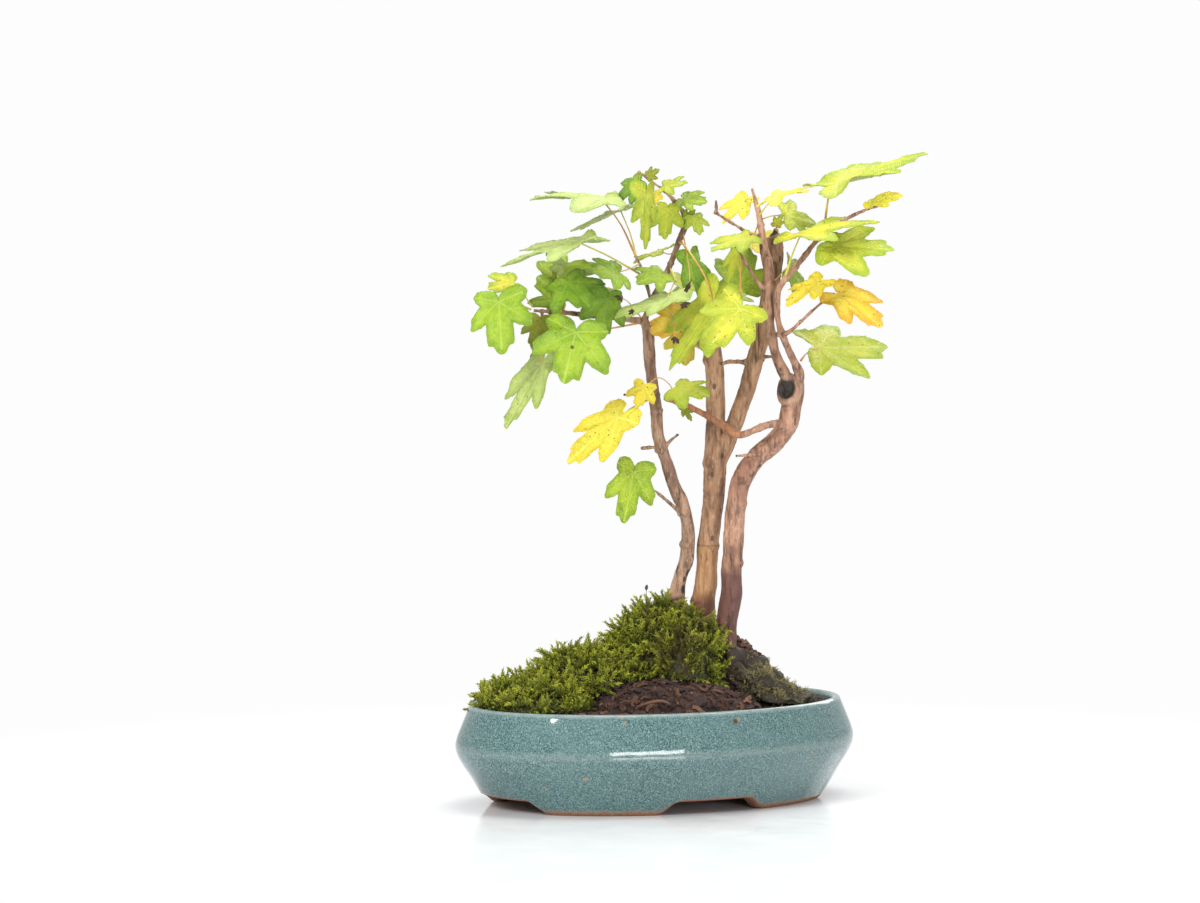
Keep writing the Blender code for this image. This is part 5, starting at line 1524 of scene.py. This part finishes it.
# Name, the blade's foot, its tip, the way it faces, width, curl, tone, the stalk's points
LEAVES = [
    ("leaf_01", (-27.0, 2, 302.0), (-64.0, -6, 302.5), (0.0, -0.15, 1.0), 1.0, 0.10, "pale",
     [(-18, 3, 289), (-10.6, 1, 273.5)]),
    ("leaf_02", (-17.3, 24, 295.7), (-43.5, 36, 286.5), (-0.3, 0.0, 0.95), 0.9, 0.10, "pale",
     [(-13, 14, 284), (-9.6, 4.6, 271)]),
    ("leaf_03", (-9.5, 16, 309.5), (-21.5, 19, 300.5), (-0.2, -0.6, 0.8), 0.95, 0.15, "dark",
     [(-9.0, 11.5, 312.6), (-8.4, 8.5, 315.0)]),
    ("leaf_04", (-6.0, -13, 303.0), (-5.0, -18, 277.0), (0.6, -0.75, 0.1), 0.5, 0.2, "turning",
     [(-4.5, -3, 307.0), (-1.2, 7.2, 308.2)]),
    ("leaf_05", (11.6, 0, 206.8), (27.0, -8, 204.0), (0.0, -0.5, 0.87), 1.15, 0.1, "lime",
     [(10.8, 4, 203.6), (10.2, 6.9, 201.7)]),
    ("leaf_06", (-19.5, -4, 192.2), (-46.5, -14, 169.0), (0.0, -0.85, 0.5), 0.46, 0.12, "yellow",
     [(-12, 3, 197), (-3.7, 10.3, 200.6)]),
    ("leaf_07", (4.8, 5, 308.0), (15.5, -1, 309.7), (0.1, -0.6, 0.8), 1.0, 0.1, "lime",
     [(4.0, 9, 306.5)]),
    ("leaf_08", (14.5, 8, 301.5), (26.0, 3, 300.0), (0.2, -0.7, 0.7), 0.9, 0.1, "green",
     [(12.4, 10.5, 301.4), (10.9, 12.2, 301.2)]),
    ("leaf_09", (6.0, 9, 296.0), (4.0, 5, 281.2), (-0.3, -0.9, 0.2), 0.8, 0.1, "lime",
     [(7.8, 11.4, 298.4)]),
    ("leaf_10", (19.0, 10, 292.0), (22.0, 5, 284.5), (0.3, -0.9, 0.2), 1.0, 0.2, "lime",
     [(16.4, 15, 291)]),
    ("leaf_11", (-37.8, -14, 280.2), (-77.5, -24, 271.0), (-0.2, -0.12, 0.97), 0.9, 0.08, "pale",
     [(-24, -6, 273), (-8.4, 3.2, 264.0)]),
    ("leaf_12", (-19.5, -14, 265.0), (-31.5, -24, 266.0), (0.0, -0.75, 0.65), 1.15, 0.1, "dark",
     [(-14, -8, 266.5), (-8.8, 1.4, 268.8)]),
    ("leaf_13", (-50.3, 16, 262.5), (-30.5, 24, 269.5), (0.1, -0.7, 0.7), 0.95, 0.12, "green",
     [(-49, 10, 254), (-47.6, 4.4, 247)]),
    ("leaf_14", (-47.6, -7, 268.0), (-54.6, -12, 274.0), (-0.1, -0.8, 0.6), 0.8, 0.1, "pale",
     [(-47.0, -3, 257), (-46.6, 0.8, 247.6)]),
    ("leaf_15", (-72.0, -2, 259.4), (-85.5, -7, 256.5), (-0.1, -0.7, 0.7), 1.1, 0.1, "yellow",
     [(-66, 0, 253), (-61.9, 0, 247.4)]),
    ("leaf_16", (-6.0, -3, 207.5), (-10.5, -7, 196.6), (-0.2, -0.9, 0.3), 0.9, 0.1, "yellow",
     [(1.0, 1, 212), (7.0, 5, 208), (8.6, 7.0, 202.2)]),
    ("leaf_17", (-78.3, -20, 250.7), (-77.2, -28, 227.0), (-0.2, -0.97, 0.0), 0.95, 0.12, "green",
     [(-70, -11, 249.5), (-62.8, -1.0, 246.2)]),
    ("leaf_18", (-46.6, 12, 251.0), (-60.0, 22, 263.0), (-0.1, -0.75, 0.6), 1.0, 0.1, "green",
     [(-46.4, 4.6, 246)]),
    ("leaf_19", (-44.6, -15, 260.0), (-33.0, -26, 248.5), (0.2, -0.85, 0.5), 1.15, 0.12, "dark",
     [(-45.5, -7, 254), (-46.0, 0.2, 247)]),
    ("leaf_20", (-35.8, 25, 255.0), (-22.0, 37, 257.5), (0.1, -0.25, 0.95), 1.0, 0.08, "olive",
     [(-35.0, 14, 250), (-34.2, 6.0, 244.6)]),
    ("leaf_21", (-24.6, -6, 252.0), (-27.4, -12, 231.5), (0.45, -0.9, 0.1), 0.8, 0.12, "dark",
     [(-22.5, 0, 250), (-20.4, 4.2, 244.4)]),
    ("leaf_22", (-40.3, -18, 235.5), (-46.6, -26, 209.0), (0.05, -1.0, 0.12), 1.0, 0.12, "dark",
     [(-27, -1, 236), (-9.6, 6.0, 239)]),
    ("leaf_23", (-56.8, -8, 220.0), (-76.0, -12, 186.0), (-0.7, -0.65, -0.3), 0.42, 0.1, "pale",
     [(-56.9, -5, 229), (-56.6, -1.6, 236.4)]),
    ("leaf_24", (6.0, -10, 253.0), (-23.5, -20, 241.5), (-0.35, -0.2, 0.9), 0.8, 0.1, "pale",
     [(9.0, -2, 261), (7.4, 12.0, 266)]),
    ("leaf_25", (1.8, -4, 264.0), (-10.5, -13, 260.5), (-0.1, -0.7, 0.7), 0.95, 0.15, "green",
     [(3.5, 4, 265), (4.6, 11.8, 264.5)]),
    ("leaf_26", (10.4, 28, 259.5), (22.0, 38, 261.0), (0.1, -0.5, 0.85), 1.0, 0.1, "lime",
     [(8.2, 21, 262), (6.8, 16.4, 265)]),
    ("leaf_27", (11.8, -1, 240.6), (-2.5, -7, 235.0), (-0.05, -0.9, 0.3), 1.2, 0.12, "yellow",
     [(6.0, 2, 245), (-0.6, 8.5, 247)]),
    ("leaf_28", (8.0, 26, 247.5), (22.0, 36, 244.0), (0.1, -0.75, 0.6), 1.0, 0.1, "lime",
     [(3.0, 20, 247), (-1.3, 14, 250)]),
    ("leaf_29", (28.5, -14, 251.0), (4.0, -20, 213.6), (-0.5, -0.8, 0.3), 0.5, 0.06, "lime",
     [(24, -9, 263), (15, 1, 277), (11.8, 13.2, 279.4)]),
    ("leaf_30", (15.6, 34, 233.5), (15.0, 44, 216.5), (0.0, -0.9, 0.3), 0.85, 0.1, "yellow",
     [(8.5, 22, 236), (-0.6, 13, 235)]),
    ("leaf_31", (17.5, 8, 271.0), (24.5, 4, 249.0), (0.4, -0.85, 0.2), 0.52, 0.1, "dark",
     [(15.0, 11, 276), (12.5, 14.2, 280.5)]),
    ("leaf_32", (2.6, 30, 275.0), (-9.0, 42, 272.5), (0.0, -0.4, 0.9), 1.0, 0.1, "lime",
     [(6.4, 23, 273.5), (9.2, 17.6, 274.5)]),
    ("leaf_33", (41.0, -28, 247.5), (26.6, -36.6, 230.3), (0.1, -0.92, 0.4), 0.95, 0.12, "turning",
     [(41.5, -18, 258), (41.4, -7.6, 272.8)]),
    ("leaf_34", (-11.3, 1, 164.7), (-16.3, -6, 139.8), (0.0, -1.0, 0.1), 0.68, 0.12, "dark",
     [(-8.0, 4, 161.5), (-3.8, 8.0, 157.6)]),
    ("leaf_35", (36.6, 38, 253.0), (45.0, 52, 256.0), (0.1, -0.6, 0.8), 1.0, 0.1, "lime",
     [(32.0, 31, 253), (28.6, 26.4, 252)]),
    ("leaf_36", (43.0, 30, 258.0), (47.0, 38, 277.0), (0.0, -0.9, 0.35), 1.0, 0.1, "green",
     [(36.0, 29, 254), (30.0, 26.2, 249)]),
    ("leaf_37", (67.0, 12, 266.0), (76.0, 22, 257.0), (0.2, -0.8, 0.55), 0.95, 0.1, "green",
     [(64.6, 8, 266), (61.2, 4, 262.5), (58.9, 1.6, 260.5)]),
    ("leaf_38", (44.0, -9, 282.0), (27.0, -19, 275.5), (-0.1, -0.35, 0.93), 0.85, 0.08, "lime",
     [(45.8, -4, 283.6), (47.0, -0.2, 284.4)]),
    ("leaf_39", (41.5, 12, 276.0), (35.0, 8, 258.0), (-0.4, -0.85, 0.1), 0.45, 0.1, "lime",
     [(43.5, 8, 282), (46.0, 3.6, 285)]),
    ("leaf_40", (48.5, 27, 279.5), (63.0, 39, 284.0), (0.1, -0.45, 0.9), 0.95, 0.1, "yellow",
     [(50.0, 17, 285), (51.2, 9.4, 288.5)]),
    ("leaf_41", (44.5, 16, 300.5), (31.5, 7, 289.3), (-0.3, -0.6, 0.75), 0.66, 0.1, "yellow",
     [(46.4, 12.5, 301.5), (47.8, 10.2, 301.0)]),
    ("leaf_42", (59.5, -6, 303.0), (76.0, -18, 306.0), (0.05, -0.35, 0.95), 1.25, 0.08, "yellow",
     [(55.0, 0, 298), (51.8, 4.6, 293.5)]),
    ("leaf_43", (66.5, 20, 293.0), (81.0, 30, 290.5), (0.1, -0.75, 0.65), 1.0, 0.12, "lime",
     [(59.0, 14, 293), (53.4, 8.0, 291.5)]),
    ("leaf_44", (70.5, -17, 283.7), (108.0, -28, 291.5), (-0.1, -0.2, 0.97), 0.6, 0.08, "yellow",
     [(67.5, -13, 274), (64.2, -9.8, 263.6)]),
    ("leaf_45", (88.0, -21, 278.5), (119.2, -27, 276.5), (0.0, -0.6, 0.8), 0.82, 0.1, "green",
     [(85.0, -12, 280.5), (82.2, -5.4, 281.8)]),
    ("leaf_46", (90.8, 14, 309.0), (137.5, 20, 326.5), (-0.15, -0.14, 0.97), 0.85, 0.08, "lime",
     [(86.6, 8, 303), (83.8, -1.2, 286.6)]),
    ("leaf_47", (108.5, -4, 300.5), (123.0, -12, 303.5), (0.0, -0.5, 0.87), 0.65, 0.12, "yellow",
     [(106.8, -0.6, 298.8)]),
    ("leaf_48", (80.0, -22, 260.3), (63.5, -32, 250.5), (-0.2, -0.5, 0.85), 0.68, 0.1, "yellow",
     [(80.9, -16, 254), (81.6, -11.6, 250.6)]),
    ("leaf_49", (91.0, -18, 253.6), (113.0, -30, 239.5), (0.0, -0.6, 0.8), 0.68, 0.12, "turning",
     [(87.0, -14, 253), (84.4, -10.8, 251.6)]),
    ("leaf_50", (82.3, 20, 226.5), (114.5, 32, 226.5), (0.1, -0.54, 0.82), 0.98, 0.1, "green",
     [(76.0, 12, 224), (72.4, 2.4, 220.6)]),
]

# look: blade, vein, rim, blush, share of brown dots, where the rim's colour starts, gloss
TONES = {
    "green": ((0.215, 0.345, 0.014), (0.48, 0.58, 0.10), (0.16, 0.27, 0.012),
              (0.350, 0.460, 0.022), 0.08, 0.70, 0.24),
    "dark": ((0.125, 0.255, 0.010), (0.32, 0.46, 0.07), (0.085, 0.18, 0.008),
             (0.215, 0.370, 0.016), 0.06, 0.75, 0.22),
    "lime": ((0.340, 0.425, 0.020), (0.58, 0.62, 0.13), (0.23, 0.35, 0.016),
             (0.500, 0.520, 0.032), 0.14, 0.70, 0.36),
    "pale": ((0.330, 0.430, 0.105), (0.55, 0.61, 0.24), (0.25, 0.35, 0.06),
             (0.440, 0.520, 0.150), 0.10, 0.75, 0.42),
    "yellow": ((0.780, 0.610, 0.035), (0.86, 0.74, 0.16), (0.66, 0.50, 0.020),
               (0.600, 0.580, 0.045), 0.30, 0.70, 0.40),
    "turning": ((0.700, 0.600, 0.030), (0.80, 0.72, 0.14), (0.19, 0.33, 0.016),
                (0.460, 0.510, 0.030), 0.28, 0.42, 0.34),
    "olive": ((0.255, 0.300, 0.022), (0.46, 0.47, 0.10), (0.20, 0.25, 0.018),
              (0.340, 0.360, 0.028), 0.20, 0.70, 0.40),
    "spotted": ((0.400, 0.470, 0.020), (0.70, 0.68, 0.14), (0.26, 0.37, 0.014),
                (0.640, 0.600, 0.030), 0.70, 0.50, 0.34),
    "amber": ((0.840, 0.540, 0.032), (0.84, 0.66, 0.12), (0.62, 0.30, 0.018),
              (0.780, 0.620, 0.070), 0.34, 0.60, 0.40),
    "wet": ((0.190, 0.345, 0.012), (0.46, 0.58, 0.10), (0.15, 0.27, 0.010),
            (0.330, 0.470, 0.018), 0.06, 0.72, 0.15),
    "dried": ((0.050, 0.030, 0.018), (0.10, 0.06, 0.035), (0.025, 0.016, 0.010),
              (0.085, 0.050, 0.026), 0.10, 0.60, 0.55),
}
# Leaves that look unlike the others of their tone
LOOKS = {"leaf_33": "spotted", "leaf_49": "amber", "leaf_27": "amber", "leaf_15": "turning",
         "leaf_04": "lime", "leaf_44": "turning", "leaf_45": "lime", "leaf_50": "lime",
         "leaf_34": "green", "leaf_23": "pale", "leaf_17": "wet", "leaf_22": "wet",
         "leaf_12": "wet", "leaf_05": "lime"}
# Leaves with a mark of their own: where it is, its radius, its colour
MARKS = {
    "leaf_01": ((-58.5, -6, 302.4), 1.3, (0.010, 0.008, 0.004)),
    "leaf_17": ((-85.5, -24, 243.5), 2.6, (0.060, 0.050, 0.035)),
    "leaf_27": ((9.0, -14, 246.0), 1.6, (0.020, 0.012, 0.006)),
    "leaf_22": ((-42.0, -20, 228.0), 1.1, (0.075, 0.060, 0.012)),
}
# Small leaves and buds at the twigs' ends
BUD_LEAVES = [
    ("bud_leaf_1", (-3.8, 4, 313.2), (0.8, 1, 316.5), (0.1, -0.8, 0.5), 0.9, 0.2, "olive",
     [(-6.2, 7.0, 313.8)]),
    ("bud_leaf_2", (14.6, 15, 291), (19, 11, 295.5), (0.3, -0.8, 0.4), 0.7, 0.2, "lime",
     [(14.5, 16, 289.5)]),
    ("bud_leaf_3", (60.6, 13, 288.5), (63.0, 9, 293.5), (0.2, -0.9, 0.3), 0.7, 0.2, "turning",
     [(60.3, 15, 286.5)]),
    ("bud_leaf_4", (0.5, -7, 303.5), (-5.5, -11, 300.5), (-0.1, -0.9, 0.2), 0.7, 0.2, "yellow",
     [(2.2, 6, 305.5), (3.4, 9.6, 306.0)]),
    ("bud_leaf_5", (-58.5, -5, 240.5), (-62.5, -8, 226.5), (-0.2, -0.9, 0.2), 0.8, 0.2, "olive",
     [(-57.4, -1, 240.5)]),
    ("bud_leaf_6", (-50, -6, 249), (-51.5, -9, 271), (-0.4, -0.8, 0.3), 0.22, 0.2,
     "olive", [(-48.5, 0, 246.0)]),
    ("bud_leaf_7", (14.0, 10, 196.5), (17.5, 6, 191.0), (0.2, -0.9, 0.2), 0.6, 0.2, "olive",
     [(14.3, 9.5, 198.2)]),
    ("dried_leaf_1", (-17.5, -19, 252.5), (-20, -20.9, 254.1), (0.3, -0.7, 0.6), 0.8, 0.8,
     "dried", [(-14.0, -4, 250.0), (-9.0, 6, 243.5)]),
    ("dried_leaf_2", (-12, -26, 246.5), (-13.2, -27.2, 244.6), (0.5, -0.7, 0.3), 0.8, 0.9,
     "dried", [(-10.0, -4, 245.5), (-8.0, 6, 242.5)]),
    ("dried_leaf_3", (14.5, -28, 256.5), (16.7, -29.9, 260.2), (0.4, -0.8, 0.2), 0.4, 0.6,
     "dried", [(16.5, -10, 262.0), (15.6, 4, 272.0), (13.6, 13.5, 283.5)]),
    ("dried_leaf_4", (8.5, -30, 233), (11, -31.2, 231.1), (0.4, -0.8, 0.4), 0.9, 0.8,
     "dried", [(8.0, -16, 243.0), (2.0, 4, 247.0), (-3.4, 11, 246.0)]),
    ("dried_leaf_5", (12.5, -26, 249.0), (15.6, -27.2, 250.6), (0.2, -0.8, 0.5), 0.7, 0.8,
     "dried", [(8.0, -14, 250.5), (2.5, 3, 251.0), (-2.4, 11, 249.5)]),
]


def leaf_skins(tone, mark=None, label=None):
    """The upper and lower material of one look."""
    blade, vein, rim, blush, dots, edge_from, gloss = TONES[tone]
    label = label or tone
    return (leaf_top(label, blade, vein, rim, blush, dots, edge_from, gloss, mark),
            leaf_under(label, blade, vein))


def make_leaves():
    blank = leaf_blank()
    skins = {tone: leaf_skins(tone) for tone in TONES}
    stalks = {"red": stalk_material("stalk_orange_pink", (0.48, 0.17, 0.07), (0.56, 0.40, 0.08)),
              "yellow": stalk_material("stalk_yellow_green", (0.62, 0.52, 0.07),
                                       (0.44, 0.46, 0.08))}
    for number, row in enumerate(LEAVES + BUD_LEAVES):
        name, joint, tip, facing, width, curl, tone, stalk = row
        look = LOOKS.get(name, tone)
        top, under = skins[look]
        if name in MARKS:
            top, under = leaf_skins(look, MARKS[name], f"{look}_{name[-2:]}")
        warm = "yellow" if tone in ("yellow", "pale") and number % 3 else "red"
        nodes = [name] if name.startswith("leaf") else []
        make_leaf(name + "_grown", joint, tip, facing, width, curl,
                  (top, under, stalks[warm]), stalk, blank, 100 + number,
                  nodes)
    bpy.data.objects.remove(blank, do_unlink=True)


# ---------------------------------------------------------------- the whole

make_camera()
make_stage()
make_lights()
make_pot()
make_screens()
make_soil()
make_all_moss()
make_spore_head()
make_bark_strip()
make_stems()
make_leaves()
